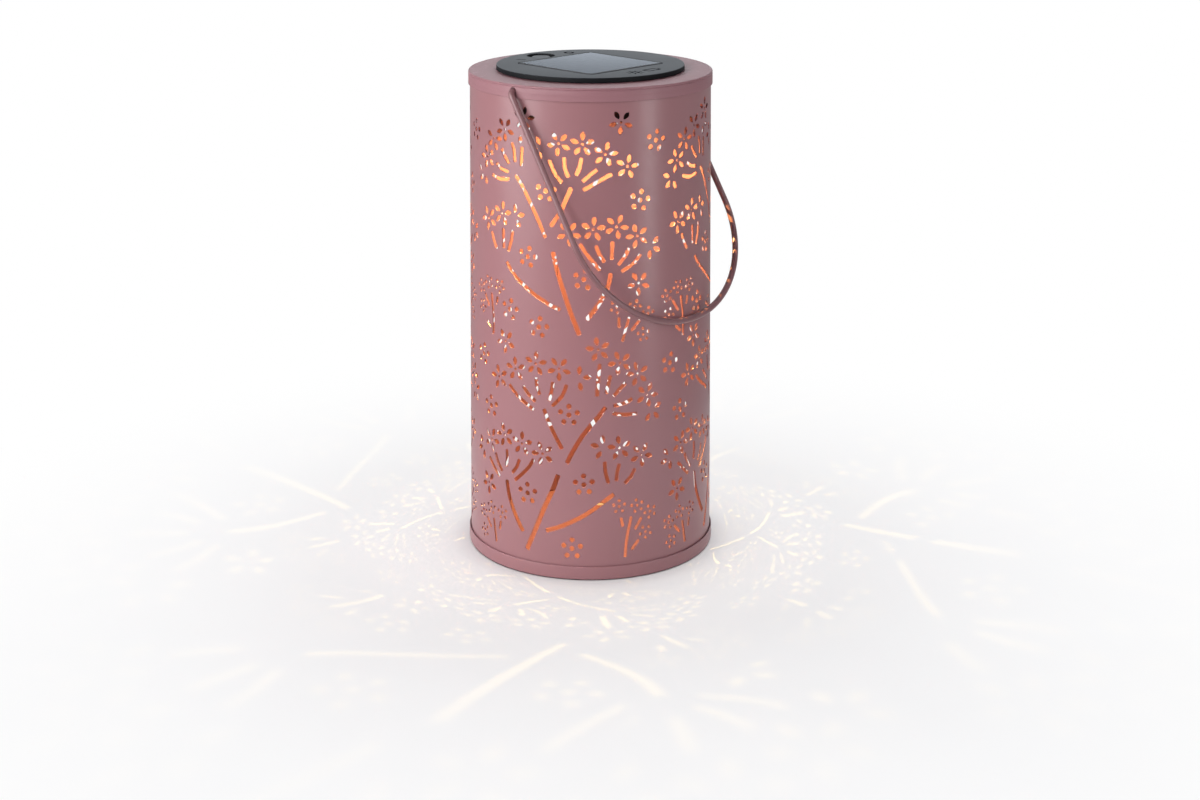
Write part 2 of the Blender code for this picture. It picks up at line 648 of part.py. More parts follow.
# ---------------------------------------------------------------- module cap and panel
def add_top_cover():
    groove_in, groove_out = SEAL_GROOVE
    groove_top = DISC_BOTTOM + SEAL_GROOVE_DEPTH
    cover = add("top_cover", lathe([
        (0, DISC_TOP), (DISC_R - 0.7, DISC_TOP), (DISC_R - 0.2, DISC_TOP - 0.2),
        (DISC_R, DISC_TOP - 0.7), (DISC_R, DISC_BOTTOM),
        (groove_out, DISC_BOTTOM), (groove_out, groove_top),
        (groove_in, groove_top), (groove_in, DISC_BOTTOM),
        (COLLAR_R, DISC_BOTTOM), (COLLAR_R, COLLAR_BOTTOM),
        (COLLAR_R - WALL, COLLAR_BOTTOM), (COLLAR_R - WALL, CAP_UNDERSIDE), (0, CAP_UNDERSIDE),
    ], 56), "black_abs")
    join(cover, *[drum(POST_R, POST_BOTTOM, CAP_UNDERSIDE + 0.6, post, 14) for post in POSTS])
    for side in SIDES:
        rib = rounded_rect(0.6, 3.6, 0.2, (side * SWITCH_RIB_X, BUTTON_Y - 0.2), 1)
        join(cover, prism(rib, 227.0, CAP_UNDERSIDE + 0.4))

    rise = 0.1           # the pocket and dish cutters end this far above the disc
    mouth_half = POCKET_HALF + POCKET_LIP + rise
    pocket = rounded_rect(POCKET_HALF, POCKET_HALF, PANEL_CORNER)
    mouth = rounded_rect(mouth_half, mouth_half, PANEL_CORNER + POCKET_LIP)
    button = (0, BUTTON_Y)
    cut(cover,
        stack((POCKET_FLOOR, pocket), (DISC_TOP - POCKET_LIP, pocket), (DISC_TOP + rise, mouth)),
        turned([(BUTTON_DISH_R - 0.9, DISC_TOP - 1.0), (BUTTON_DISH_R, DISC_TOP + rise)],
               32, button),
        drum(BUTTON_R + BUTTON_GAP, BUTTON_WELL_FLOOR, DISC_TOP, button, 28),
        drum(BUTTON_STEM_HOLE_R, CAP_UNDERSIDE - PAST, BUTTON_WELL_FLOOR + PAST, button, 16),
        prism(rounded_rect(3.0, 1.5, 0.6, (0, PANEL_WIRE_Y)),
              CAP_UNDERSIDE - PAST, POCKET_FLOOR + PAST),
        *[drum(SCREW_HOLE_R, POST_BOTTOM - PAST, 231, post, 12) for post in POSTS])
    return cover


def add_panel():
    """Tape frame, solar cell and window in the pocket, and the seal under the disc."""
    def square(half, corner):
        return rounded_rect(half, half, corner)

    window = square(PANEL / 2, PANEL_CORNER - 0.2)
    window_top = square(PANEL / 2 - 0.4, PANEL_CORNER - 0.4)
    return [
        add_frame("panel_tape", square(24.5, 2.0), square(19.5, 1.0),
                  POCKET_FLOOR + 0.2, POCKET_FLOOR + 0.5, "foam_tape"),
        add("solar_cell", prism(square(25.3, 2.2), POCKET_FLOOR + 0.7, POCKET_FLOOR + 1.1),
            "photovoltaic_cell"),
        add("panel_window", stack((POCKET_FLOOR + 1.25, window), (DISC_TOP - 0.55, window),
                                  (DISC_TOP - 0.25, window_top)), "clear_cover"),
        add("module_gasket", lathe([(44.8, 236.35), (45.8, 236.35), (45.8, 237.2),
                                    (44.8, 237.2)], 56), "silicone_seal"),
    ]


def add_button():
    return add("push_button", turned([
        (1.6, 234.6), (1.6, 236.7), (BUTTON_R, 236.7), (BUTTON_R, DISC_TOP - 0.9),
        (BUTTON_R - 0.5, DISC_TOP - 0.45), (BUTTON_R - 1.6, DISC_TOP - 0.35),
    ], 28, (0, BUTTON_Y)), "grey_button")


# ---------------------------------------------------------------- module housing
def add_housing():
    housing = add("module_housing", lathe([
        (0, HOUSING_BOTTOM), (HOUSING_R - 1.2, HOUSING_BOTTOM),
        (HOUSING_R - 0.35, HOUSING_BOTTOM + 0.35), (HOUSING_R, HOUSING_BOTTOM + 1.2),
        (HOUSING_R, HOUSING_TOP), (HOUSING_R - WALL, HOUSING_TOP),
        (HOUSING_R - WALL, FLOOR), (0, FLOOR),
    ], 48), "black_abs_cup")

    def box(half_x, half_y, corner, bottom, top):
        return prism(rounded_rect(half_x, half_y, corner, (0, BATTERY_Y), 1), bottom, top)

    half_x, half_y = BOX_HALF
    sunk = FLOOR - EMBED
    join(housing,
         *[drum(BOSS_R, sunk, BOSS_TOP, post, 14) for post in POSTS],
         *[drum(2.4, sunk, 225.0, place, 12) for place in DOOR_SCREWS],
         *[drum(1.8, sunk, BOARD_Z - 0.3, peg, 10) for peg in BOARD_PEGS],
         box(half_x, half_y, 0.4, sunk, BOX_TOP))
    below = HOUSING_BOTTOM - PAST
    cut(housing,
        box(half_x - BOX_WALL, half_y - BOX_WALL, 0.2, FLOOR - 0.15, BOX_TOP + PAST),
        box(*BOX_MOUTH_HALF, 0.2, below, FLOOR + PAST),
        drum(REFLECTOR_R + 1.1, below, FLOOR + PAST, segments=32),
        *[drum(SCREW_HOLE_R, below, BOSS_TOP + PAST, post, 12) for post in POSTS],
        *[drum(SCREW_HEAD_HOLE_R, below, 218.4, post, 16) for post in POSTS],
        *[drum(SCREW_HOLE_R, below, 223.5, place, 12) for place in DOOR_SCREWS])
    return housing


def add_screw(name, place, bottom, head_r, length, turn):
    """Pan-head screw pointing up, with a cross recess in the head's underside."""
    head_top = bottom + 1.5
    tip = bottom + length
    screw = add(name, lathe([
        (0, bottom), (head_r * 0.62, bottom), (head_r, bottom + 0.7), (head_r, head_top),
        (1.1, head_top), (1.1, tip - 1.0), (0.4, tip), (0, tip)], 12), "zinc_screw")
    arm, half_width = head_r * 0.6, 0.28
    for half_x, half_y in ((arm, half_width), (half_width, arm)):
        cut(screw, prism(rounded_rect(half_x, half_y, 0.1, steps=1), bottom - 0.5, bottom + 0.8))
    x, y = place
    screw.data.transform(Matrix.Translation((x * MM, y * MM, 0))
                         @ Matrix.Rotation(math.radians(turn), 4, "Z"))
    return screw


def add_housing_screws():
    return [add_screw("housing_screw_%d" % (i + 1), post, bottom=216.5, head_r=2.2,
                      length=12.0, turn=20 + 33 * i) for i, post in enumerate(POSTS)]


def add_door():
    """Battery door under the housing, with its gasket and two screws."""
    def door_outline(inset):
        return rounded_rect(DOOR_HALF_X - inset, DOOR_HALF_Y - inset, DOOR_CORNER - inset,
                            (0, BATTERY_Y))

    def inner_outline(half_x, half_y, corner):
        return rounded_rect(half_x, half_y, corner, (0, BATTERY_Y))

    door = add("battery_door", stack((DOOR_BOTTOM, door_outline(DOOR_BEVEL)),
                                     (DOOR_BOTTOM + DOOR_BEVEL, door_outline(0)),
                                     (DOOR_TOP, door_outline(0))), "black_abs_door")
    groove = add_frame("tool", inner_outline(26.7, 7.4, 1.6), inner_outline(25.1, 5.9, 0.8),
                       214.7, 216.5)
    boolean(door, "DIFFERENCE", groove)
    cut(door, *[drum(SCREW_HOLE_R, DOOR_BOTTOM - PAST, DOOR_TOP + PAST, place, 12)
                for place in DOOR_SCREWS])
    gasket = add_frame("door_gasket", inner_outline(26.4, 7.15, 1.4),
                       inner_outline(25.4, 6.2, 1.0), 214.9, 215.75, "black_rubber")
    screws = [add_screw("door_screw_%d" % (i + 1), place, bottom=212.1, head_r=2.1,
                        length=9.0, turn=15 + 40 * i) for i, place in enumerate(DOOR_SCREWS)]
    return [door, gasket, *screws]


# ---------------------------------------------------------------- electronics
def add_board():
    board = add("circuit_board", prism(rounded_rect(19.0, 16.25, 1.0, (0, 8.75), 2),
                                       BOARD_Z, BOARD_TOP), "circuit_board")
    cut(board, *[drum(1.2, BOARD_Z - PAST, BOARD_TOP + PAST, peg, 12) for peg in BOARD_PEGS])
    chip = add("charge_chip", prism(rounded_rect(2.5, 2.0, 0.2, (-8, 4), 1),
                                    BOARD_TOP + 0.3, BOARD_TOP + 1.8), "chip_black")
    coil_profile = ((3.4, 0.3), (3.4, 1.0), (2.4, 1.2), (2.4, 3.2), (3.4, 3.4), (3.4, 4.1))
    coil = add("boost_coil", turned([(radius, BOARD_TOP + z) for radius, z in coil_profile],
                                    18, (9, 6)), "ferrite_coil")
    return [board, chip, coil]


def add_switch():
    switch = add("push_switch", prism(rounded_rect(3.3, 3.2, 0.4, (0, BUTTON_Y), 2),
                                      227.5, 232.4), "switch_body")
    join(switch, drum(1.3, 232.0, 233.4, (0, BUTTON_Y), 12))
    return switch


def add_lamp():
    """Lamp with its dome downwards, the reflector round it and the seal above."""
    dome = [(LED_R * math.cos(math.radians(angle)),
             LED_TIP + LED_R - LED_R * math.sin(math.radians(angle)))
            for angle in (72, 54, 36, 18)]
    flange_r = 2.9
    flange_bottom = LED_TIP + 7.1
    flange_top = LED_TIP + 8.1
    lamp = add("led_lamp", lathe([
        (0, LED_TIP), *dome, (LED_R, LED_TIP + LED_R), (LED_R, flange_bottom),
        (flange_r, flange_bottom), (flange_r, flange_top), (0, flange_top)], 20), "led_lens")
    join(lamp, *[prism(rounded_rect(0.3, 0.3, 0.05, (side * 1.27, 0), 1),
                       LED_TIP + 7.5, BOARD_Z - 0.3) for side in SIDES])
    reflector = add("led_reflector", lathe([
        (REFLECTOR_R, HOUSING_BOTTOM), (REFLECTOR_R + 0.8, HOUSING_BOTTOM),
        (REFLECTOR_R + 0.8, FLOOR + 0.3), (REFLECTOR_R + 2.0, FLOOR + 0.3),
        (REFLECTOR_R + 2.0, FLOOR + 1.0), (REFLECTOR_R + 0.2, FLOOR + 1.0),
        (4.6, 223.0), (3.2, 223.0), (3.2, 222.2)], 36), "white_reflector")
    ring = add("led_seal", lathe([(2.8, 223.2), (4.2, 223.2), (4.2, 224.2), (2.8, 224.2)], 20),
               "led_grommet")
    return [lamp, reflector, ring]


def add_battery():
    """Cell along X, contact plate at its +X end, conical spring at its -X end."""
    stations = [  # x, radius
        (-20.6, 4.6), (-20.2, BATTERY_R), (22.0, BATTERY_R), (22.5, 4.8), (22.55, 1.9),
        (23.5, 1.8),
    ]
    steps_per_turn, steps = 12, 42
    coil = []
    for i in range(steps + 1):
        angle = 2 * math.pi * i / steps_per_turn
        part = i / steps
        radius = 3.3 - 1.3 * part
        coil.append((-24.2 + 3.0 * part, BATTERY_Y + radius * math.cos(angle),
                     BATTERY_Z + radius * math.sin(angle)))
    return [
        add("battery_cell", turned_x(stations, 24, BATTERY_Y, BATTERY_Z), "battery_sleeve"),
        add("contact_plate", prism(rounded_rect(0.2, 3.8, 0.1, (24.3, BATTERY_Y), 1),
                                   219.2, 227.4), "nickel_plate"),
        add("contact_spring", sweep(coil, 0.32, 5), "nickel_spring", 60),
    ]


def add_wires():
    end_z = BOARD_TOP + 0.5      # wire ends stop just above the board
    wires = [  # name, material, steps, then start, two pull points and end
        ("solar_wire_red", "red_wire", 10,
         (-1.4, PANEL_WIRE_Y, 237.0), (-1.4, PANEL_WIRE_Y, 232), (-11, 12, 234),
         (-12, 12, end_z)),
        ("solar_wire_black", "black_wire", 8,
         (1.4, PANEL_WIRE_Y, 237.0), (1.4, PANEL_WIRE_Y, 233), (1.0, 14, 232), (0.5, 14, end_z)),
        ("battery_wire_red", "red_wire", 10,
         (22, -15, 229.6), (22, -9, 232.5), (16, -5, 233), (16, -2, end_z)),
        ("battery_wire_black", "black_wire", 10,
         (-22, -15, 229.6), (-22, -9, 232.5), (-16, -5, 233), (-16, -2, end_z)),
        ("switch_wire", "grey_wire", 10,
         (0, BUTTON_Y - 3.5, 229.5), (0, 28, 229.5), (6, 22, 233.5), (6, 18, end_z)),
    ]
    return [add(name, sweep(bezier(*controls, steps), 0.6, 7), material)
            for name, material, steps, *controls in wires]


# ---------------------------------------------------------------- assembly
def mount(parts, frame, y=0.0):
    """Parent parts drawn in place to a frame at height LID_TOP and the given y."""
    for part in parts:
        part.data.transform(Matrix.Translation((0, -y * MM, -LID_TOP * MM)))
        part.parent = frame


def add_module():
    """Solar module, drawn square to its own frame and then turned as a whole."""
    module = add_empty("module_lift", (0, 0, LID_TOP))
    module.rotation_euler = (0, 0, math.radians(MODULE_TURN))
    button_guide = add_empty("button_guide", (0, BUTTON_Y, 0), module)
    door_guide = add_empty("door_guide", (0, BATTERY_Y, 0), module)
    mount([add_top_cover(), *add_panel(), add_housing(), *add_housing_screws(), *add_board(),
           *add_lamp(), add_switch(), *add_battery(), *add_wires()], module)
    mount([add_button()], button_guide, BUTTON_Y)
    mount(add_door(), door_guide, BATTERY_Y)


for old in list(bpy.data.objects):
    bpy.data.objects.remove(old, do_unlink=True)
for material_name, settings in MATERIALS.items():
    make_material(material_name, *settings)
add("body_shell", punched_tube(), "powder_coat", 30)
add_lid_ring()
add_base_plate()
add_handle()
add_module()
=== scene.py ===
import json
import math

import bmesh
import bpy
import numpy as np
from mathutils import Matrix, Vector
from mathutils.geometry import delaunay_2d_cdt


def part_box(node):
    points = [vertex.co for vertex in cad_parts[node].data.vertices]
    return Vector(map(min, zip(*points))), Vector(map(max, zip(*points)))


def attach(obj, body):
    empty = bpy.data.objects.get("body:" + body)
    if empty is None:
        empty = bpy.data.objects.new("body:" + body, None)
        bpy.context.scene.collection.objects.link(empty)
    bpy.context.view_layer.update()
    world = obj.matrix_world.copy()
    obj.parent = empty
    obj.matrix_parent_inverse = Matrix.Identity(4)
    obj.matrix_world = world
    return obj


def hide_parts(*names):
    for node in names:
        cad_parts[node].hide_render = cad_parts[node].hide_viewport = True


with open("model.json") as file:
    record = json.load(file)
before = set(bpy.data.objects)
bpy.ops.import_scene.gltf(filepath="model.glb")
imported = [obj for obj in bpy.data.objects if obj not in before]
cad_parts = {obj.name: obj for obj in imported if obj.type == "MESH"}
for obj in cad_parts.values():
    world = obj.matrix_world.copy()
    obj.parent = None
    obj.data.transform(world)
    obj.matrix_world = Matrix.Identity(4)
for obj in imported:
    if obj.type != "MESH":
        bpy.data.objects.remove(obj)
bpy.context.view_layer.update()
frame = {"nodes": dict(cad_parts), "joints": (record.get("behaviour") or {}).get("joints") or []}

MM = 0.001
SCN = bpy.context.scene

# ------------------------------------------------------------------ sizes in mm, some read from the frame and some given
LO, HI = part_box("body_shell")
TUBE_R = 60.0
TUBE_BOTTOM, TUBE_TOP = round(LO.z * 1000, 3), round(HI.z * 1000, 3)
SHEET = 0.5
CAP_R = round(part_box("lid_ring")[1].x * 1000, 2)
LID_TOP = round(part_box("lid_ring")[1].z * 1000, 3)
LID_EDGE = round(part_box("lid_ring")[0].z * 1000, 3)
LID_HOLE_R = 43.9
BASE_RIM = round(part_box("base_plate")[1].z * 1000, 3)
DISC_TOP = round(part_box("top_cover")[1].z * 1000, 3)
DISC_R, COLLAR_R, DISC_BOTTOM, WALL = 46.9, 43.4, 236.4, 1.6
HOUSING_BOTTOM = round(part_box("module_housing")[0].z * 1000, 3)
HOUSING_R = 41.4
FLOOR = HOUSING_BOTTOM + WALL
PIVOT = [j for j in frame["joints"] if j["name"] == "handle_swing"][0]["pos_m"]
PIVOT_Z = PIVOT[2] * 1000
MODULE_TURN = -7.7
BATTERY_Y, BUTTON_Y = -19.0, 35.7
POSTS = ((33.0, 14.0), (-33.0, 14.0), (19.0, -30.6), (-19.0, -30.6))
SEAM_GAP, SEAM_TONGUE, SEAM_JOGGLE = 0.5, 8.0, 0.8
SEAM_AT, ART_ZERO, PANEL_PITCH = -170.0, -52.7, 99.5
TURN = Matrix.Rotation(math.radians(MODULE_TURN), 4, "Z")


# ------------------------------------------------------------------ node helpers
class Nodes:
    def __init__(self, name):
        self.m = bpy.data.materials.new(name)
        self.m.use_nodes = True
        self.t = self.m.node_tree
        self.t.nodes.clear()
        self.out = self.t.nodes.new("ShaderNodeOutputMaterial")

    def add(self, kind, **sets):
        n = self.t.nodes.new("ShaderNode" + kind)
        for k, v in sets.items():
            if k.startswith("_"):
                setattr(n, k[1:], v)
        for k, v in sets.items():
            if not k.startswith("_"):
                self.put(n.inputs[k.replace("__", " ")], v)
        return n

    def put(self, socket, v):
        if isinstance(v, bpy.types.NodeSocket):
            self.t.links.new(v, socket)
        else:
            socket.default_value = v

    def math(self, op, a, b=0.0, c=0.0, clamp=False):
        n = self.t.nodes.new("ShaderNodeMath")
        n.operation = op
        n.use_clamp = clamp
        for i, v in enumerate((a, b, c)):
            self.put(n.inputs[i], v)
        return n.outputs[0]

    def coords(self, scale=(1, 1, 1), rot=(0, 0, 0)):
        tc = self.t.nodes.new("ShaderNodeTexCoord")
        mp = self.t.nodes.new("ShaderNodeMapping")
        mp.inputs["Scale"].default_value = scale
        mp.inputs["Rotation"].default_value = rot
        self.t.links.new(tc.outputs["Object"], mp.inputs["Vector"])
        return mp.outputs[0]

    def noise(self, scale, detail=3.0, rough=0.55, vec=None, distortion=0.0):
        n = self.t.nodes.new("ShaderNodeTexNoise")
        n.inputs["Scale"].default_value = scale
        n.inputs["Detail"].default_value = detail
        n.inputs["Roughness"].default_value = rough
        n.inputs["Distortion"].default_value = distortion
        self.put(n.inputs["Vector"], vec if vec is not None else self.coords())
        return n.outputs["Fac"]

    def ramp(self, fac, stops):
        n = self.t.nodes.new("ShaderNodeValToRGB")
        cr = n.color_ramp
        while len(cr.elements) < len(stops):
            cr.elements.new(0.5)
        for e, (p, c) in zip(cr.elements, stops):
            e.position = p
            e.color = c if len(c) == 4 else (*c, 1)
        self.put(n.inputs["Fac"], fac)
        return n.outputs["Color"]

    def mix(self, fac, a, b, kind="MIX"):
        n = self.t.nodes.new("ShaderNodeMix")
        n.data_type = "RGBA"
        n.blend_type = kind
        self.put(n.inputs[0], fac)
        self.put(n.inputs[6], a if isinstance(a, bpy.types.NodeSocket) else (*a[:3], 1))
        self.put(n.inputs[7], b if isinstance(b, bpy.types.NodeSocket) else (*b[:3], 1))
        return n.outputs[2]

    def bump(self, height, strength, distance, normal=None):
        n = self.t.nodes.new("ShaderNodeBump")
        n.inputs["Strength"].default_value = strength
        n.inputs["Distance"].default_value = distance
        self.put(n.inputs["Height"], height)
        if normal is not None:
            self.put(n.inputs["Normal"], normal)
        return n.outputs[0]

    def principled(self, **kw):
        p = self.t.nodes.new("ShaderNodeBsdfPrincipled")
        for k, v in kw.items():
            self.put(p.inputs[k.replace("_", " ")], v)
        self.t.links.new(p.outputs[0], self.out.inputs["Surface"])
        return p

    def spread(self, fac, lo, hi):
        """fac 0..1 to lo..hi"""
        n = self.t.nodes.new("ShaderNodeMapRange")
        self.put(n.inputs["Value"], fac)
        n.inputs["To Min"].default_value = lo
        n.inputs["To Max"].default_value = hi
        return n.outputs[0]


def shade(c, k):
    return tuple(min(1.0, x * k) for x in c[:3])


def powder_coat(name, base, rough=0.36, metal=0.0, wear_low=None, wear_high=None, coat=0.12):
    """Satin powder coat: orange peel, fine grain, faint cloudiness, rubbed spots near the rims."""
    g = Nodes(name)
    cloud = g.noise(22, 3)
    fine = g.noise(2600, 2)
    colour = g.mix(g.spread(cloud, 0.2, 0.8), shade(base, 0.95), shade(base, 1.05))
    colour = g.mix(g.spread(fine, 0.0, 0.35), colour, shade(base, 1.16))
    rg = g.math("ADD", g.spread(g.noise(60, 4), rough - 0.05, rough + 0.05), g.math("MULTIPLY", fine, 0.04))
    if wear_low is not None or wear_high is not None:
        sep = g.add("SeparateXYZ")
        g.t.links.new(g.coords(), sep.inputs[0])
        z = sep.outputs[2]
        masks = []
        for level in (wear_low, wear_high):
            if level is None:
                continue
            d = g.math("ABSOLUTE", g.math("SUBTRACT", z, level * MM))
            masks.append(g.math("SUBTRACT", 1.0, g.math("DIVIDE", d, 0.0007), clamp=True))
        near = masks[0] if len(masks) == 1 else g.math("MAXIMUM", masks[0], masks[1])
        spots = g.spread(g.math("GREATER_THAN", g.noise(340, 5, 0.7), 0.60), 0, 1)
        wear = g.math("MULTIPLY", near, spots)
        colour = g.mix(g.math("MULTIPLY", wear, 0.35), colour, shade(base, 1.9))
        rg = g.math("SUBTRACT", rg, g.math("MULTIPLY", wear, 0.10))
    peel = g.bump(g.noise(1300, 2), 0.10, 0.00012)
    nrm = g.bump(g.noise(5200, 1), 0.08, 0.00004, peel)
    g.principled(Base_Color=colour, Roughness=rg, Metallic=metal, Normal=nrm, Coat_Weight=coat, Coat_Roughness=0.28,
                 Specular_IOR_Level=0.5)
    return g.m


def moulded(name, base, rough=0.42, grain=2200.0, depth=0.00006, strength=0.25, spec=0.5, scuff=0.15, shade_below=None):
    """Spark-eroded moulded plastic: fine pits, uneven gloss, a few faint hairline scuffs."""
    g = Nodes(name)
    pit = g.noise(grain, 3, 0.6)
    wide = g.noise(35, 4)
    colour = g.mix(g.spread(pit, 0.2, 0.8), shade(base, 0.85), shade(base, 1.25))
    colour = g.mix(g.spread(wide, 0.0, 0.4), colour, shade(base, 1.35))
    w = g.add("TexWave", _wave_type="BANDS", Scale=90.0, Distortion=9.0, Detail=3.0)
    g.t.links.new(g.coords((1, 1.7, 1), (0, 0, 0.6)), w.inputs["Vector"])
    line = g.math("GREATER_THAN", w.outputs["Fac"], 0.985)
    colour = g.mix(g.math("MULTIPLY", line, scuff * 0.35), colour, shade(base, 2.2))
    rg = g.spread(g.math("ADD", g.math("MULTIPLY", wide, 0.6), g.math("MULTIPLY", pit, 0.4)), rough - 0.08, rough + 0.09)
    nrm = g.bump(pit, strength, depth)
    if shade_below is not None:  # painted shade: below this level (engraved marks, pocket, button dish, the cap's side) the colour is darkened and its reflection dimmed, with a slightly rougher finish
        sep = g.add("SeparateXYZ")
        g.t.links.new(g.coords(), sep.inputs[0])
        recess_shade = g.math("DIVIDE", g.math("SUBTRACT", shade_below * MM, sep.outputs[2]), 0.0002, clamp=True)
        colour = g.mix(recess_shade, colour, shade(base, 0.35))
        rg = g.math("MULTIPLY_ADD", recess_shade, 0.18, rg)
        spec = g.math("MULTIPLY_ADD", recess_shade, -0.75 * spec, spec)
    g.principled(Base_Color=colour, Roughness=rg, Normal=nrm, Specular_IOR_Level=spec)
    return g.m


def metal_finish(name, base, rough=0.28, brush=(1, 1, 60), scale=160.0, tint=0.9):
    g = Nodes(name)
    streak = g.noise(scale, 4, 0.6, g.coords(brush))
    blotch = g.noise(90, 3)
    colour = g.mix(streak, shade(base, tint), shade(base, 1.06))
    colour = g.mix(g.spread(blotch, 0, 0.25), colour, shade(base, 0.72))
    g.principled(Base_Color=colour, Metallic=1.0, Roughness=g.spread(streak, rough - 0.08, rough + 0.12),
                 Normal=g.bump(streak, 0.12, 0.00005))
    return g.m


def soft_rubber(name, base, rough=0.8):
    g = Nodes(name)
    n = g.noise(3200, 3)
    dust = g.noise(70, 4)
    colour = g.mix(g.spread(dust, 0.0, 0.5), shade(base, 0.9), shade(base, 1.8))
    g.principled(Base_Color=colour, Roughness=g.spread(n, rough - 0.1, rough + 0.08), Normal=g.bump(n, 0.25, 0.00005),
                 Sheen_Weight=0.1)
    return g.m


# ------------------------------------------------------------------ mesh helpers (mm in, metres out)
def finish_mesh(name, bm, mat, smooth=35.0, move=None):
    bmesh.ops.recalc_face_normals(bm, faces=bm.faces[:])
    if move is not None:
        bmesh.ops.transform(bm, matrix=move, verts=bm.verts[:])
    me = bpy.data.meshes.new(name)
    bm.to_mesh(me)
    bm.free()
    me.shade_smooth()
    me.set_sharp_from_angle(angle=math.radians(smooth))
    o = bpy.data.objects.new(name, me)
    SCN.collection.objects.link(o)
    if mat is not None:
        me.materials.append(mat)
    return o


def lathe(profile, seg):
    bm = bmesh.new()
    rings = []
    for r, z in profile:
        if r == 0:
            rings.append([bm.verts.new((0, 0, z * MM))])
        else:
            rings.append([bm.verts.new((r * MM * math.cos(2 * math.pi * i / seg),
                                        r * MM * math.sin(2 * math.pi * i / seg), z * MM)) for i in range(seg)])
    n = len(profile)
    for k in range(n):
        a, b = rings[k], rings[(k + 1) % n]
        if len(a) == 1 and len(b) == 1:
            continue
        for i in range(seg):
            j = (i + 1) % seg
            if len(a) == 1:
                bm.faces.new((a[0], b[i], b[j]))
            elif len(b) == 1:
                bm.faces.new((a[i], b[0], a[j]))
            else:
                bm.faces.new((a[i], b[i], b[j], a[j]))
    return bm


def fillet(cx, cz, r, a0, a1, n=5):
    """Arc points of a turned profile, angles in degrees."""
    return [(cx + r * math.cos(math.radians(a0 + (a1 - a0) * i / n)),
             cz + r * math.sin(math.radians(a0 + (a1 - a0) * i / n))) for i in range(n + 1)]


def loft(loops):
    bm = bmesh.new()
    rings = [[bm.verts.new((x * MM, y * MM, z * MM)) for x, y, z in lp] for lp in loops]
    for a, b in zip(rings, rings[1:]):
        for i in range(len(a)):
            j = (i + 1) % len(a)
            bm.faces.new((a[i], a[j], b[j], b[i]))
    bm.faces.new(rings[0][::-1])
    bm.faces.new(rings[-1])
    return bm


def rounded_rect(hx, hy, r, cx=0.0, cy=0.0, steps=8):
    pts = []
    for k, (sx, sy) in enumerate(((1, 1), (-1, 1), (-1, -1), (1, -1))):
        for i in range(steps + 1):
            a = math.radians(90 * k + 90 * i / steps)
            pts.append((cx + sx * (hx - r) + r * math.cos(a), cy + sy * (hy - r) + r * math.sin(a)))
    return pts


def circle(r, n, cx=0.0, cy=0.0):
    return [(cx + r * math.cos(2 * math.pi * i / n), cy + r * math.sin(2 * math.pi * i / n)) for i in range(n)]


def prism(outline, *levels):
    loops = []
    for lv in levels:
        z, o = lv if isinstance(lv, tuple) else (lv, outline)
        loops.append([(x, y, z) for x, y in o])
    return loft(loops)


def drum(r, z0, z1, cx=0.0, cy=0.0, n=40):
    return prism(circle(r, n, cx, cy), z0, z1)


def sweep(points, radius, sides, squash_ends=0.0):
    pts = [Vector(p) for p in points]
    tang = [(pts[min(i + 1, len(pts) - 1)] - pts[max(i - 1, 0)]).normalized() for i in range(len(pts))]
    up = tang[0].orthogonal().normalized()
    loops = []
    for i, p in enumerate(pts):
        if i:
            up = tang[i - 1].rotation_difference(tang[i]) @ up
        t = tang[i]
        up = (up - t * up.dot(t)).normalized()
        side = t.cross(up)
        r = radius if not callable(radius) else radius(i, len(pts))
        loops.append([tuple(p + r * (math.cos(2 * math.pi * k / sides) * up + math.sin(2 * math.pi * k / sides) * side))
                      for k in range(sides)])
    return loft(loops)


def tool(bm):
    return finish_mesh("tool", bm, None)


def combine(obj, operation, *cutters):
    for c in cutters:
        m = obj.modifiers.new("bool", "BOOLEAN")
        m.operation = operation
        m.solver = "EXACT"
        m.object = c
        me = bpy.data.meshes.new_from_object(obj.evaluated_get(bpy.context.evaluated_depsgraph_get()))
        obj.modifiers.clear()
        old, obj.data = obj.data, me
        bpy.data.meshes.remove(old)
        old = c.data
        bpy.data.objects.remove(c, do_unlink=True)
        bpy.data.meshes.remove(old)
        bm = bmesh.new()
        bm.from_mesh(me)
        bmesh.ops.remove_doubles(bm, verts=bm.verts[:], dist=1.5e-6)
        bmesh.ops.dissolve_degenerate(bm, edges=bm.edges[:], dist=1e-6)
        bm.to_mesh(me)
        bm.free()
    me.shade_smooth()
    me.set_sharp_from_angle(angle=math.radians(33))
    return obj


def seat(o, body, replaces=()):
    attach(o, body)
    if replaces:
        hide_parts(*replaces)
    return o


def turned(o):
    """Module pieces are drawn square to the module and then turned with it."""
    o.data.transform(TURN)
    return o


# ------------------------------------------------------------------ the punched artwork (degrees round the panel, mm up)
FLOWERS = [
    (-31.7, 220, 83), (14, 219.6, 49), (48.9, 208.2, 77), (43.7, 198.5, 108),
    (-43, 213.7, 56), (-14.6, 209.4, 48), (-3.6, 209.4, 88), (6.8, 204.6, 77), (17, 198.3, 78),
    (44.6, 168.8, 47), (-44.8, 172.8, 83),
    (-9.8, 166.8, 59), (1.3, 169, 84), (11.9, 170, 64), (21.8, 164.8, 109),
    (22.5, 142.1, 50), (-42.8, 111, 50),
    (-47.1, 92.6, 105), (-36.7, 98.5, 95), (-25.8, 102.9, 86), (-14.4, 101.6, 54),
    (3.5, 111.4, 101), (13.5, 104.5, 112), (22, 98.4, 103), (26.7, 87.7, 66),
    (46.6, 60.3, 68), (-43.6, 64.8, 106), (-33.2, 62.8, 88), (-22.4, 59.6, 110),
    (13.3, 63.4, 98), (23.9, 59, 60), (44.2, 38.2, 54),
]
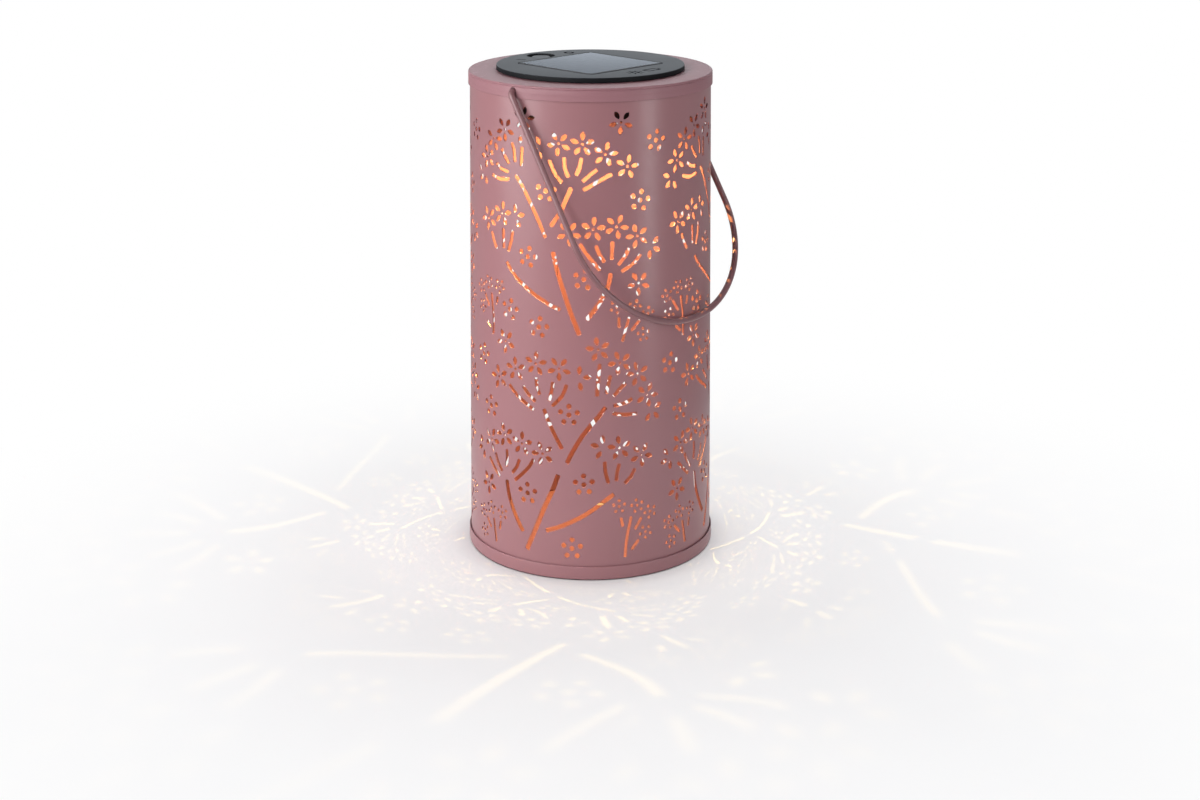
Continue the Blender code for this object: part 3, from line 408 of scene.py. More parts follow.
SIDE_FLOWERS = [
    (40.8, 190.5, (158, 226, 294)), (-33.5, 213.8, (122, 50, -22, -94)),
    (-22.8, 206.6, (115, 187, 259)), (-37, 172.6, (86, 14, -58)),
    (28.3, 159.2, (42, -26, -94)), (-5.2, 97.4, (86, 10, -80)),
    (29.2, 80, (28, -50, -122)), (39.5, 54.8, (129, 201, 275)), (5.6, 64, (91, 164, 241)),
]
SEED_HEADS = [
    (31.3, 209.8, 8), (23.1, 181.9, 6), (-20.6, 186.5, 12), (-29.8, 154, 5), (-3, 145, 8), (-40, 127, 8),
    (-24.2, 120.8, 8), (39.6, 101, 8), (-9.8, 79.6, 18), (46.2, 76.8, 20), (-30.1, 39.2, 20), (-3, 46.1, 20), (-8.4, 14.9, 18),
]
RAYS = [
    ((-38.6, 207.8), (-37.3, 204), (-36.9, 198.7)), ((-32.8, 206.5), (-33.3, 197)),
    ((-45.2, 204), (-43, 200.5), (-40.3, 197.5)), ((-49, 196.5), (-45.5, 194.3), (-40.8, 193.4)),
    ((-52, 190.5), (-47, 189.2), (-40.2, 190)),
    ((-19, 201.5), (-17.5, 197.5), (-15.5, 193.8), (-13, 190.8)), ((-11.9, 203), (-11.7, 198), (-9.9, 193.5)),
    ((-4, 203), (-4.8, 198.5), (-6.5, 194.5)), ((3, 197.3), (0, 195), (-3.5, 191.7)), ((9.7, 195.2), (4, 192), (-3.3, 187.5)),
    ((47, 162.7), (48.7, 158.5), (51, 154.7)), ((-44.2, 165.5), (-43.8, 156)), ((-38.4, 165.7), (-38.9, 161), (-41, 155)),
    ((-4.8, 162), (-2, 157.5), (1, 153.5), (4.4, 149.5)), ((2.6, 161.2), (4, 157), (6.4, 153.2)), ((10, 163), (9.7, 154.3)),
    ((17.6, 159.5), (15.8, 155.5), (12.7, 151.6)), ((23.3, 156), (20, 152), (14.2, 148.3)),
    ((-40.5, 90.3), (-36, 86), (-32, 83.5), (-26.8, 80.3)), ((-32.5, 91), (-29.5, 87.5), (-25.9, 84.5)),
    ((-25.6, 96.2), (-25.2, 92), (-23.7, 88)), ((-17.3, 95), (-18, 90), (-19.2, 85.7)), ((-10.8, 94.2), (-13, 88.5), (-17.7, 83.2)),
    ((4.3, 104.5), (3.5, 97), (3, 88.7)), ((9.2, 98.7), (8, 94), (7.2, 90)), ((16.3, 94.8), (13.5, 92), (10.5, 88.5)),
    ((19.5, 86.8), (15.5, 84.8), (10.5, 84)), ((21.8, 79.3), (16, 79.3), (10, 80.3)),
    ((-54.8, 51), (-51, 47), (-47, 43.5)), ((-50, 54.3), (-48, 50), (-45.2, 46.5)), ((-42.2, 58), (-41.9, 54), (-42.6, 49.3)),
    ((-34.6, 54.8), (-36, 51), (-38.8, 47.3)), ((-26.9, 56.3), (-29, 52.5), (-33, 48), (-37.3, 44)),
    ((6.5, 57.2), (6.8, 52), (8.3, 46.5)), ((13.3, 55.8), (12.3, 52), (11.8, 47.4)), ((20.7, 52.7), (19, 49.3), (15.7, 46)),
]
STEMS = [
    (1.9, ((-36.5, 192.5), (-34, 189.5), (-30, 183), (-25, 173.5), (-22.5, 168), (-20.8, 164))),
    (2.0, ((-8.7, 188.7), (-13.7, 177), (-18.3, 169.7))),
    (2.3, ((-17.3, 157.7), (-15, 148), (-12, 138), (-8.5, 127.5), (-5, 118.3))),
    (1.9, ((-42, 149.7), (-39, 146), (-36, 143), (-32, 140), (-27, 136.6), (-22, 133.8), (-18, 131.6), (-13.8, 130))),
    (2.2, ((9.2, 147.8), (8.4, 143), (6, 137), (2, 130.5), (-1.8, 125.6))),
    (2.0, ((-21.7, 81.5), (-20, 77), (-17, 70.5), (-12.9, 62.8))),
    (2.2, ((7, 83.5), (4, 79.5), (0, 74.5), (-4, 69), (-8, 62), (-10.8, 56))),
    (2.3, ((-42.1, 43), (-41.3, 38), (-39.8, 33), (-37.5, 28), (-34, 22), (-32.5, 20))),
    (2.4, ((-14.8, 50.3), (-17.5, 42.5), (-21.5, 33.5), (-25.5, 23.5), (-30.5, 11.5))),
    (2.1, ((-20.8, 22.4), (-15, 24.6), (-9, 27.6), (-3, 31), (2, 34.5), (6.5, 38), (10.8, 41.2))),
]
SPRIG_STEMS = [
    ((19, 29.5), (17, 20), (16, 10)), ((14, 29.5), (15, 25)), ((24.2, 28.5), (20.7, 23)), ((22.8, 17.8), (19, 13.3)),
    ((17.9, 126.3), (14.6, 114.7)), ((13, 126.5), (13.1, 121.6)), ((23, 124.4), (18.8, 119.5)),
    ((46.6, 132.5), (48.2, 121), (48, 112.6)), ((41, 131.2), (44.8, 125.6)), ((51.4, 131.6), (50.5, 127.4)), ((43, 118.2), (46.5, 115.3)),
    ((48, 21.5), (50, 10.3)), ((42.3, 20.6), (46.2, 16.2)), ((53.2, 21.5), (52.4, 17.3)),
]
SPRIG_HEADS = [
    (13.2, 35), (21.9, 34.5), (28.5, 30.6), (26.1, 21.1), (11.9, 131.5), (20.6, 131), (27.2, 127), (24.8, 117.3),
    (37.6, 134), (44.5, 137.3), (52.8, 137), (38.8, 124.6), (38.9, 22.9), (46, 26.2), (54.2, 26), (40.4, 13.3),
]
PETAL_SHAPE = ((0.0, 0.0), (0.08, 0.36), (0.24, 0.72), (0.45, 0.98), (0.64, 0.97), (0.82, 0.68), (0.94, 0.32), (1.0, 0.0))


def sheet_pos(deg, z):
    return Vector((math.radians(deg - SEAM_AT) * TUBE_R, z))


def ring_hole(c, r, n):
    return [(c[0] + r * math.cos(2 * math.pi * (k + 0.5) / n), c[1] + r * math.sin(2 * math.pi * (k + 0.5) / n)) for k in range(n)]


def petal(c, deg):
    a = math.radians(deg)
    u, v = Vector((math.cos(a), math.sin(a))), Vector((-math.sin(a), math.cos(a)))
    start, length, half = 1.75, 4.3, 1.2
    right = [c + u * (start + length * t) - v * (half * w) for t, w in PETAL_SHAPE]
    left = [c + u * (start + length * t) + v * (half * w) for t, w in PETAL_SHAPE[1:-1]]
    return [tuple(p) for p in right + left[::-1]]


def curve_through(pts, step=2.2):
    """Catmull-Rom points along a chain."""
    p = [Vector(q) for q in pts]
    if len(p) == 2:
        return p
    ext = [p[0] * 2 - p[1]] + p + [p[-1] * 2 - p[-2]]
    out = [p[0]]
    for i in range(1, len(ext) - 2):
        a, b, c, d = ext[i - 1], ext[i], ext[i + 1], ext[i + 2]
        n = max(1, int((c - b).length / step))
        for k in range(1, n + 1):
            t = k / n
            out.append(0.5 * (2 * b + (c - a) * t + (2 * a - 5 * b + 4 * c - d) * t * t + (3 * b - a - 3 * c + d) * t ** 3))
    return out


def slot(pts, width, nib=0.42):
    """Slot outline with slightly rounded corners."""
    p = curve_through(pts)
    n = len(p)
    left, right = [], []
    for i in range(n):
        t = (p[min(i + 1, n - 1)] - p[max(i - 1, 0)]).normalized()
        nv = Vector((-t.y, t.x)) * width / 2
        left.append(p[i] + nv)
        right.append(p[i] - nv)

    def corner(a, b):
        """a: end corner, returned unchanged; b: not used"""
        return a

    t0 = (p[1] - p[0]).normalized()
    t1 = (p[-1] - p[-2]).normalized()
    nv0 = Vector((-t0.y, t0.x))
    nv1 = Vector((-t1.y, t1.x))
    k = nib
    out = [p[0] - nv0 * (width / 2 - k), p[0] - nv0 * (width / 2 - k * 0.3) + t0 * k * 0.3, p[0] - nv0 * width / 2 + t0 * k]
    out += right[1:-1]
    out += [p[-1] - nv1 * width / 2 - t1 * k, p[-1] - nv1 * (width / 2 - k * 0.3) - t1 * k * 0.3, p[-1] - nv1 * (width / 2 - k)]
    out += [p[-1] + nv1 * (width / 2 - k), p[-1] + nv1 * (width / 2 - k * 0.3) - t1 * k * 0.3, p[-1] + nv1 * width / 2 - t1 * k]
    out += left[1:-1][::-1]
    out += [p[0] + nv0 * width / 2 + t0 * k, p[0] + nv0 * (width / 2 - k * 0.3) + t0 * k * 0.3, p[0] + nv0 * (width / 2 - k)]
    return [tuple(q) for q in out]


def artwork(offset):
    out = []
    for deg, z, turn in FLOWERS:
        c = sheet_pos(deg + offset, z)
        out += [petal(c, turn + 72 * k) for k in range(5)]
        out.append(ring_hole(c, 0.72, 8))
    for deg, z, dirs in SIDE_FLOWERS:
        c = sheet_pos(deg + offset, z)
        out += [petal(c, d) for d in dirs]
    for w, chain in STEMS:
        out.append(slot([sheet_pos(d + offset, z) for d, z in chain], w, 0.5))
    for chain in RAYS:
        out.append(slot([sheet_pos(d + offset, z) for d, z in chain], 1.8))
    for chain in SPRIG_STEMS:
        out.append(slot([sheet_pos(d + offset, z) for d, z in chain], 1.45))
    for deg, z, turn in SEED_HEADS:
        c = sheet_pos(deg + offset, z)
        out.append(ring_hole(c, 1.25, 14))
        for k in range(5):
            a = math.radians(90 - 18 + turn + 72 * k)
            out.append(ring_hole(c + Vector((math.cos(a), math.sin(a))) * 4.2, 1.27, 14))
    for i, (deg, z) in enumerate(SPRIG_HEADS):
        c = sheet_pos(deg + offset, z)
        out.append(ring_hole(c, 0.80, 9))
        for k in range(5):
            a = math.radians(90 + 11 * i + 72 * k)
            out.append(ring_hole(c + Vector((math.cos(a), math.sin(a))) * 2.8, 0.82, 9))
    return out


def seg_gap(a, b):
    """Least distance between two outlines (their corners to the other's edges)."""
    best = 1e9
    for p, q in ((a, b), (b, a)):
        P = np.array(p)
        Q = np.array(q)
        D = np.roll(Q, -1, 0) - Q
        L = (D ** 2).sum(1)
        rel = P[:, None, :] - Q[None]
        t = np.clip((rel * D[None]).sum(-1) / L[None], 0, 1)
        best = min(best, float(np.sqrt(((rel - t[..., None] * D[None]) ** 2).sum(-1)).min()))
    return best


def inside(p, poly):
    hit = False
    for i in range(len(poly)):
        (x1, y1), (x2, y2) = poly[i], poly[(i + 1) % len(poly)]
        if (y1 > p[1]) != (y2 > p[1]) and p[0] < (x2 - x1) * (p[1] - y1) / (y2 - y1) + x1:
            hit = not hit
    return hit


WELDS = [18.0 + 33.2 * i for i in range(7)]


def punched_tube(mat):
    length = 2 * math.pi * TUBE_R - SEAM_GAP
    total = length + SEAM_TONGUE
    kept, grid = [], {}

    def cells(o, pad):
        x0, x1 = min(x for x, _ in o) - pad, max(x for x, _ in o) + pad
        y0, y1 = min(y for _, y in o) - pad, max(y for _, y in o) + pad
        return [(i, j) for i in range(int(x0 // 8), int(x1 // 8) + 1) for j in range(int(y0 // 8), int(y1 // 8) + 1)]

    def offer(o):
        xs = [x for x, _ in o]
        zs = [z for _, z in o]
        if min(xs) < 4.5 or max(xs) > length - 4.5 or min(zs) < 8.0 or max(zs) > 228.0:
            return
        near = {k for c in cells(o, 0.5) for k in grid.get(c, ())}
        for k in near:
            if seg_gap(o, kept[k]) < 0.42 or inside(o[0], kept[k]) or inside(kept[k][0], o):
                return
        kept.append(o)
        for c in cells(o, 0.0):
            grid.setdefault(c, []).append(len(kept) - 1)

    for k in (0, 1, -1, 2, -2):
        for o in artwork(k * PANEL_PITCH):
            offer(o)
    for side in (-90.0, 90.0):
        s = (math.radians(side - ART_ZERO - SEAM_AT) * TUBE_R) % (2 * math.pi * TUBE_R)
        kept.append(ring_hole((s, PIVOT_Z - 0.2), 1.95, 20))
        for c in cells(kept[-1], 0.0):
            grid.setdefault(c, []).append(len(kept) - 1)

    pts, faces = [], []

    def loop(l):
        first = len(pts)
        pts.extend(Vector(p) for p in l)
        faces.append(list(range(first, len(pts))))

    z0, z1 = TUBE_BOTTOM, TUBE_TOP
    n = 180
    step = length / n
    border = [(i * step, z0) for i in range(n + 1)]
    border += [(length + 0.4, z0 + 0.3), (length + 0.8, z0 + 0.6), (length + 1.2, z0 + 0.85), (length + 1.6, z0 + 1.0), (total, z0 + 1.0)]
    border += [(total, z1 - 1.0), (length + 1.6, z1 - 1.0), (length + 1.2, z1 - 0.85), (length + 0.8, z1 - 0.6), (length + 0.4, z1 - 0.3)]
    border += [(i * step, z1) for i in range(n, -1, -1)]
    loop(border)
    for o in kept:
        loop(o)
    # free points, away from openings, so that plain metal follows the curve evenly
    corner_grid = {}
    for o in kept:
        for x, z in o:
            corner_grid.setdefault((int(x // 2), int(z // 2)), []).append((x, z))
    rows = 46
    dz = (z1 - z0) / rows
    for i in range(1, n):
        for j in range(1, rows):
            x, z = i * step, z0 + j * dz + (0.5 * dz if i % 2 else 0.0)
            if z > z1 - 1.0:
                continue
            ci, cj = int(x // 2), int(z // 2)
            if any((x - q[0]) ** 2 + (z - q[1]) ** 2 < 1.4 ** 2
                   for di in (-1, 0, 1) for dj in (-1, 0, 1) for q in corner_grid.get((ci + di, cj + dj), ())):
                continue
            if any(inside((x, z), kept[k]) for k in grid.get((int(x // 8), int(z // 8)), ())):
                continue
            if x < 4.6 and any((x - 2.4) ** 2 + (z - w) ** 2 < 2.4 ** 2 for w in WELDS):
                continue
            pts.append(Vector((x, z)))
    for w in WELDS:  # spot-weld dimples beside the seam
        pts.append(Vector((2.4, w)))
        for r, m in ((0.6, 8), (1.15, 12), (1.6, 16), (1.9, 18)):
            for k in range(m):
                pts.append(Vector((2.4 + r * math.cos(2 * math.pi * k / m), w + r * math.sin(2 * math.pi * k / m))))
    for j in range(1, 40):
        for dx in (0.0, 0.4, 0.8, 1.2, 1.6):
            pts.append(Vector((length + dx, z0 + 1 + j * (z1 - z0 - 2) / 40)))
    v, _, f, _, _, orig = delaunay_2d_cdt(pts, [], faces, 1, 1e-6)
    tris = [tuple(t) for t, o in zip(f, orig) if list(o) == [0]]

    co = np.array([(p[0], p[1]) for p in v])
    used = np.zeros(len(co), bool)
    T = np.array(tris)
    used[T.ravel()] = True
    index = np.cumsum(used) - 1
    T = index[T]
    co = co[used]
    s, z = co[:, 0], co[:, 1]
    jog = np.clip((s - length) / 1.6, 0, 1)
    jog = SEAM_JOGGLE * jog * jog * (3 - 2 * jog)
    dent = np.zeros(len(s))
    for w in WELDS:
        rho = np.hypot(s - 2.4, z - w) / 1.9
        dent += 0.16 * np.clip(1 - rho ** 2, 0, 1) ** 1.5
    ang = math.radians(SEAM_AT + ART_ZERO) + s / TUBE_R
    rad_dir = np.stack([np.sin(ang), -np.cos(ang), np.zeros_like(ang)], 1)

    def at(depth):
        r = (TUBE_R - depth - jog - dent) * MM
        P = rad_dir * r[:, None]
        P[:, 2] = z * MM
        return P

    outer, inner = at(0.0), at(SHEET)
    nv = len(s)
    verts = np.vstack([outer, inner])
    face_list = [tuple(t) for t in T.tolist()] + [(c + nv, b + nv, a + nv) for a, b, c in T.tolist()]
    ntri = len(T)
    directed = set()
    for a, b, c in T.tolist():
        directed.update(((a, b), (b, c), (c, a)))
    walls = [(b, a, a + nv, b + nv) for a, b in directed if (b, a) not in directed]
    walls.sort()
    face_list += walls
    me = bpy.data.meshes.new("punched_tube")
    me.from_pydata(verts.tolist(), [], face_list)
    me.update()
    me.shade_smooth()
    # exact normals: radial on the two skins (tilted in the weld dimples), square to the sheet on the cut edges
    grad = np.zeros((nv, 3))
    for w in WELDS:
        dx, dzz = s - 2.4, z - w
        q = np.clip(1 - (dx ** 2 + dzz ** 2) / 1.9 ** 2, 0, 1)
        g = 0.16 * 1.5 * q ** 0.5 * (2 / 1.9 ** 2)
        tangent = np.stack([np.cos(ang), np.sin(ang), np.zeros_like(ang)], 1)
        grad += tangent * (-g * dx)[:, None]
        grad[:, 2] += -g * dzz
    skin = rad_dir + grad
    skin /= np.linalg.norm(skin, axis=1)[:, None]
    fn = np.zeros(len(me.polygons) * 3, np.float32)
    me.polygons.foreach_get("normal", fn)
    fn = fn.reshape(-1, 3)
    loops = []
    for i, t in enumerate(face_list):
        for k in t:
            if i < ntri:
                loops.append(skin[k])
            elif i < 2 * ntri:
                loops.append(-skin[k - nv])
            else:
                loops.append(fn[i])
    me.normals_split_custom_set(np.array(loops).tolist())
    me.materials.append(mat)
    o = bpy.data.objects.new("punched_tube", me)
    SCN.collection.objects.link(o)
    return o


# ------------------------------------------------------------------ materials
ROSE = (0.285, 0.128, 0.140)
# the lid's rose is the tube's made a little darker: painted shade on the lid
ROSE_LID_SHADED = (0.275, 0.122, 0.140)
M_TUBE = powder_coat("rose_powder_coat", ROSE, 0.34, 0.0)
M_LID = powder_coat("rose_powder_coat_lid", ROSE_LID_SHADED, 0.60, 0.0, wear_high=LID_TOP - 0.3, wear_low=LID_EDGE, coat=0.2)
M_BASE = powder_coat("rose_powder_coat_base", ROSE, 0.36, 0.0, wear_low=0.2, wear_high=BASE_RIM)
# the wire's rose is the tube's darkened to 0.72: painted shade on the thin wire
M_WIRE = powder_coat("rose_wire_shaded_coat", shade(ROSE, 0.72), 0.30, 0.0)
# the cap's colour is darkened below its top face: painted shade in its recesses and on its side
M_CAP = moulded("cap_black_abs", (0.026, 0.028, 0.033), 0.40, shade_below=DISC_TOP - 0.12)
M_CUP = moulded("housing_black_abs", (0.022, 0.022, 0.023), 0.5)
M_DOOR = moulded("door_black_abs", (0.020, 0.020, 0.021), 0.46, grain=1500)
M_BUTTON = moulded("button_black_abs", (0.055, 0.056, 0.060), 0.34, grain=1800, scuff=0.3)
M_SEAL = soft_rubber("silicone_grey", (0.20, 0.20, 0.20), 0.7)
M_RUBBER = soft_rubber("rubber_black", (0.014, 0.014, 0.014), 0.82)
M_FOAM = soft_rubber("foam_white", (0.62, 0.62, 0.60), 0.9)
M_SCREW = metal_finish("zinc_screw", (0.58, 0.58, 0.56), 0.30)
M_NICKEL = metal_finish("nickel_plate", (0.66, 0.63, 0.57), 0.26, (1, 40, 1))
M_SPRING = metal_finish("nickel_spring", (0.62, 0.61, 0.58), 0.24)


# ------------------------------------------------------------------ body
tube = punched_tube(M_TUBE)
seat(tube, "body", ("body_shell",))

t = SHEET
lid_profile = [(LID_HOLE_R, LID_TOP - 3.0), (LID_HOLE_R, LID_TOP - 0.6)]
lid_profile += fillet(LID_HOLE_R + 0.6, LID_TOP - 0.6, 0.6, 180, 90, 5)[1:]
lid_profile += fillet(CAP_R - 0.75, LID_TOP - 0.75, 0.75, 90, 0, 7)
lid_profile += [(CAP_R - 0.06, LID_TOP - 0.92), (CAP_R - 0.26, LID_TOP - 1.08), (CAP_R - 0.26, LID_TOP - 1.22), (CAP_R - 0.05, LID_TOP - 1.42), (CAP_R, LID_TOP - 1.55)]
lid_profile += [(CAP_R, LID_EDGE + 2.62), (CAP_R - 0.05, LID_EDGE + 2.56), (CAP_R - 0.05, LID_EDGE + 2.44), (CAP_R, LID_EDGE + 2.38), (CAP_R, LID_EDGE + 0.4)]
lid_profile += fillet(CAP_R - 0.14, LID_EDGE + 0.14, 0.14, 0, -90, 4)
lid_profile += [(CAP_R - t, LID_EDGE)]
lid_profile += fillet(CAP_R - 1.1, LID_TOP - 1.1, 1.1 - t, 0, 90, 6)
lid_profile += [(LID_HOLE_R + t + 0.4, LID_TOP - t), (LID_HOLE_R + t, LID_TOP - t - 0.5), (LID_HOLE_R + t, LID_TOP - 3.0)]
lid = finish_mesh("lid_ring_pressed", lathe(lid_profile, 192), M_LID)


def cross_bore(r, x0, x1, z, n=28):
    return tool(loft([[(x, r * math.cos(2 * math.pi * i / n), z + r * math.sin(2 * math.pi * i / n)) for i in range(n)] for x in (x0, x1)]))


combine(lid, "DIFFERENCE", cross_bore(1.8, -62, -59, PIVOT_Z), cross_bore(1.8, 59, 62, PIVOT_Z))
seat(lid, "body", ("lid_ring",))

base_profile = [(0, 0.0), (CAP_R - 0.8, 0.0)] + fillet(CAP_R - 0.8, 0.8, 0.8, -90, 0, 7)[1:]
base_profile += fillet(CAP_R - t / 2, BASE_RIM - t / 2, t / 2, 0, 180, 8)
base_profile += [(CAP_R - t, 1.3)] + fillet(CAP_R - 1.3, 1.3, 1.3 - t, 0, -90, 6)[1:]
base_profile += [(0, t)]
base_profile = [(r, z) for r, z in base_profile]
base = finish_mesh("base_plate_pressed", lathe(base_profile, 192), M_BASE)
combine(base, "DIFFERENCE", *[tool(drum(2.5, -1, 2, 38 * math.cos(math.radians(a)), 38 * math.sin(math.radians(a)), 28))
                              for a in (30, 150, 270)])
seat(base, "body", ("base_plate",))

# ------------------------------------------------------------------ bail
BAIL_HALF, BAIL_REACH, BAIL_LEG, BAIL_SKEW, BAIL_REST, WIRE_R = 63.0, 128.5, 78.5, 1.7, 28.8, 1.5


def bail_points():
    phi = math.radians(BAIL_REST)
    bend, inner = 2.6, 51.0
    sides = []
    for side in (-1, 1):
        run = [(side * (inner + k), 0.0) for k in (0.0, 0.35, 0.9, 2.0, 5.0, 9.0)]
        for i in range(0, 9):
            a = math.radians(90 * i / 8)
            run.append((side * (BAIL_HALF - bend + bend * math.sin(a)), bend - bend * math.cos(a)))
        for k in range(1, 13):
            w = bend + (BAIL_LEG - bend) * k / 12
            run.append((side * BAIL_HALF + BAIL_SKEW * w / BAIL_REACH, w))
        sides.append(run)
    bow = []
    for i in range(1, 64):
        a = math.pi * i / 64
        w = BAIL_LEG + (BAIL_REACH - BAIL_LEG) * math.sin(a)
        bow.append((-BAIL_HALF * math.cos(a) + BAIL_SKEW * w / BAIL_REACH, w))
    path = sides[0] + bow + sides[1][::-1]
    return [(u, -w * math.sin(phi), PIVOT_Z - w * math.cos(phi)) for u, w in path]


def wire_radius(i, n):
    k = min(i, n - 1 - i)
    return {0: 0.95, 1: 1.38}.get(k, WIRE_R)


bail = finish_mesh("bail_wire", sweep(bail_points(), wire_radius, 24), M_WIRE, 50)
seat(bail, "handle", ("handle",))

# ------------------------------------------------------------------ solar module
half = 26.2
cap_profile = [(0, DISC_TOP), (DISC_R - 0.5, DISC_TOP)] + fillet(DISC_R - 0.5, DISC_TOP - 0.5, 0.5, 90, 0, 6)[1:]
cap_profile += [(DISC_R, DISC_BOTTOM + 0.15), (DISC_R - 0.15, DISC_BOTTOM), (46.1, DISC_BOTTOM), (46.1, DISC_BOTTOM + 1.0), (44.5, DISC_BOTTOM + 1.0),
                (44.5, DISC_BOTTOM), (COLLAR_R, DISC_BOTTOM), (COLLAR_R, 230.4), (COLLAR_R - 0.4, 230.0), (COLLAR_R - WALL + 0.2, 230.0),
                (COLLAR_R - WALL, 230.2), (COLLAR_R - WALL, 235.0), (0, 235.0)]
cap = finish_mesh("cap_moulding", lathe(cap_profile, 160), M_CAP)
combine(cap, "UNION", *[tool(drum(2.5, 220.4, 235.6, x, y, 28)) for x, y in POSTS])
combine(cap, "UNION", *[tool(prism(rounded_rect(0.6, 3.6, 0.2, k * 4.3, BUTTON_Y - 0.2, 2), 227.0, 235.4)) for k in (-1, 1)])
POCKET_FLOOR = DISC_TOP - 2.3
lip = 0.6
combine(cap, "DIFFERENCE",
        tool(prism(None, (POCKET_FLOOR, rounded_rect(half, half, 3.0)), (DISC_TOP - lip, rounded_rect(half, half, 3.0)),
                   (DISC_TOP - lip * 0.45, rounded_rect(half + lip * 0.35, half + lip * 0.35, 3.2)),
                   (DISC_TOP + 0.1, rounded_rect(half + lip + 0.1, half + lip + 0.1, 3.6)))),
        tool(prism(None, (DISC_TOP - 1.5, circle(6.8, 64, 0, BUTTON_Y)), (DISC_TOP - 1.35, circle(7.0, 64, 0, BUTTON_Y)),
                   (DISC_TOP - 0.25, circle(7.2, 64, 0, BUTTON_Y)), (DISC_TOP + 0.1, circle(7.55, 64, 0, BUTTON_Y)))),
        tool(drum(5.1, 235.6, DISC_TOP, 0, BUTTON_Y, 56)), tool(drum(2.0, 234.0, 236.0, 0, BUTTON_Y, 24)),
        tool(prism(rounded_rect(3.0, 1.5, 0.6, 0, 14.0), 234.0, 237.5)),
        *[tool(drum(1.4, 219, 231, x, y, 20)) for x, y in POSTS])

# generic engraved marks: a bar and a ring beside the button, a sun and a cell opposite
marks = bmesh.new()


def stamp(outline, inner=None):
    """One engraving cutter; with an inner outline it is a ring."""
    z0, z1 = DISC_TOP - 0.4, DISC_TOP + 0.2
    if inner is None:
        b = prism(outline, z0, z1)
    else:
        b = bmesh.new()
        rows = [[b.verts.new((px * MM, py * MM, z * MM)) for px, py in o] for o, z in
                ((outline, z0), (outline, z1), (inner, z1), (inner, z0))]
        for r0, r1 in zip(rows, rows[1:] + rows[:1]):
            for i in range(len(r0)):
                j = (i + 1) % len(r0)
                b.faces.new((r0[i], r0[j], r1[j], r1[i]))
    bmesh.ops.recalc_face_normals(b, faces=b.faces[:])
    me = bpy.data.meshes.new("m")
    b.to_mesh(me)
    b.free()
    marks.from_mesh(me)
    bpy.data.meshes.remove(me)


def bar(cx, cy, ang, hl, hw):
    ca, sa = math.cos(ang), math.sin(ang)
    return [(cx + x * ca - y * sa, cy + x * sa + y * ca) for x, y in rounded_rect(hl, hw, min(hl, hw) * 0.8, steps=4)]


a_on, a_off = math.radians(117), math.radians(62.5)
stamp(bar(36.6 * math.cos(a_on), 36.6 * math.sin(a_on), a_on, 2.6, 0.8))
stamp(circle(2.8, 40, 36.6 * math.cos(a_off), 36.6 * math.sin(a_off)), circle(1.45, 40, 36.6 * math.cos(a_off), 36.6 * math.sin(a_off)))
sx, sy = -5.5, -36.2
stamp(circle(2.3, 40, sx, sy), circle(1.15, 40, sx, sy))
for k in range(8):
    a = math.radians(45 * k)
    stamp(bar(sx + 3.65 * math.cos(a), sy + 3.65 * math.sin(a), a, 0.9, 0.46))
stamp(rounded_rect(4.4, 2.6, 0.6, 6.0, -36.2, 4), rounded_rect(3.3, 1.5, 0.3, 6.0, -36.2, 4))
stamp(bar(11.5, -36.2, math.pi / 2, 1.1, 0.6))
combine(cap, "DIFFERENCE", tool(marks))
turned(cap)
seat(cap, "module", ("top_cover",))

# panel window: clear cast cover with a soft edge
pw = 25.85
win = finish_mesh("window_cast_cover", prism(None, (POCKET_FLOOR + 1.25, rounded_rect(pw, pw, 2.6)), (DISC_TOP - 0.30, rounded_rect(pw, pw, 2.6)),
                                             (DISC_TOP + 0.02, rounded_rect(pw - 0.16, pw - 0.16, 2.5)), (DISC_TOP + 0.12, rounded_rect(pw - 0.36, pw - 0.36, 2.4)),
                                             (DISC_TOP + 0.15, rounded_rect(pw - 0.60, pw - 0.60, 2.3))), None, 30)
g = Nodes("clear_cast_cover")
dust = g.noise(600, 5, 0.7)
nrm = g.bump(g.noise(170, 2), 0.05, 0.0002)
fres = g.add("Fresnel", IOR=1.47)
g.put(fres.inputs["Normal"], nrm)
clear = g.add("BsdfTransparent")
g.put(clear.inputs["Color"], g.mix(g.spread(dust, 0, 0.3), (0.90, 0.93, 0.97), (0.80, 0.83, 0.88)))
gloss = g.add("BsdfAnisotropic") if hasattr(bpy.types, "ShaderNodeBsdfAnisotropic") else g.add("BsdfGlossy")
g.put(gloss.inputs["Color"], (0.88, 0.91, 0.97, 1))
g.put(gloss.inputs["Roughness"], g.spread(dust, 0.04, 0.16))
g.put(gloss.inputs["Normal"], nrm)
mx = g.add("MixShader")
g.t.links.new(fres.outputs[0], mx.inputs[0])
g.t.links.new(clear.outputs[0], mx.inputs[1])
g.t.links.new(gloss.outputs[0], mx.inputs[2])
# the cover is drawn near black along an edge band about 1.7 mm wide
sep = g.add("SeparateXYZ")
g.t.links.new(g.coords((1, 1, 1), (0, 0, -math.radians(MODULE_TURN))), sep.inputs[0])
rim = g.math("MAXIMUM", g.math("ABSOLUTE", sep.outputs[0]), g.math("ABSOLUTE", sep.outputs[1]))
rim = g.math("ADD", rim, g.math("MULTIPLY", g.math("SUBTRACT", g.noise(900, 3), 0.5), 0.0002))
mask = g.math("DIVIDE", g.math("SUBTRACT", rim, (pw - 1.7) * MM), 0.0002, clamp=True)
edge = g.add("BsdfPrincipled")
g.put(edge.inputs["Base Color"], g.mix(dust, (0.022, 0.024, 0.028), (0.034, 0.036, 0.041)))
g.put(edge.inputs["Roughness"], g.spread(dust, 0.34, 0.50))
g.put(edge.inputs["Normal"], nrm)
both = g.add("MixShader")
g.t.links.new(mask, both.inputs[0])
g.t.links.new(mx.outputs[0], both.inputs[1])
g.t.links.new(edge.outputs[0], both.inputs[2])
g.t.links.new(both.outputs[0], g.out.inputs["Surface"])
win.data.materials.append(g.m)
turned(win)
seat(win, "module", ("panel_window",))

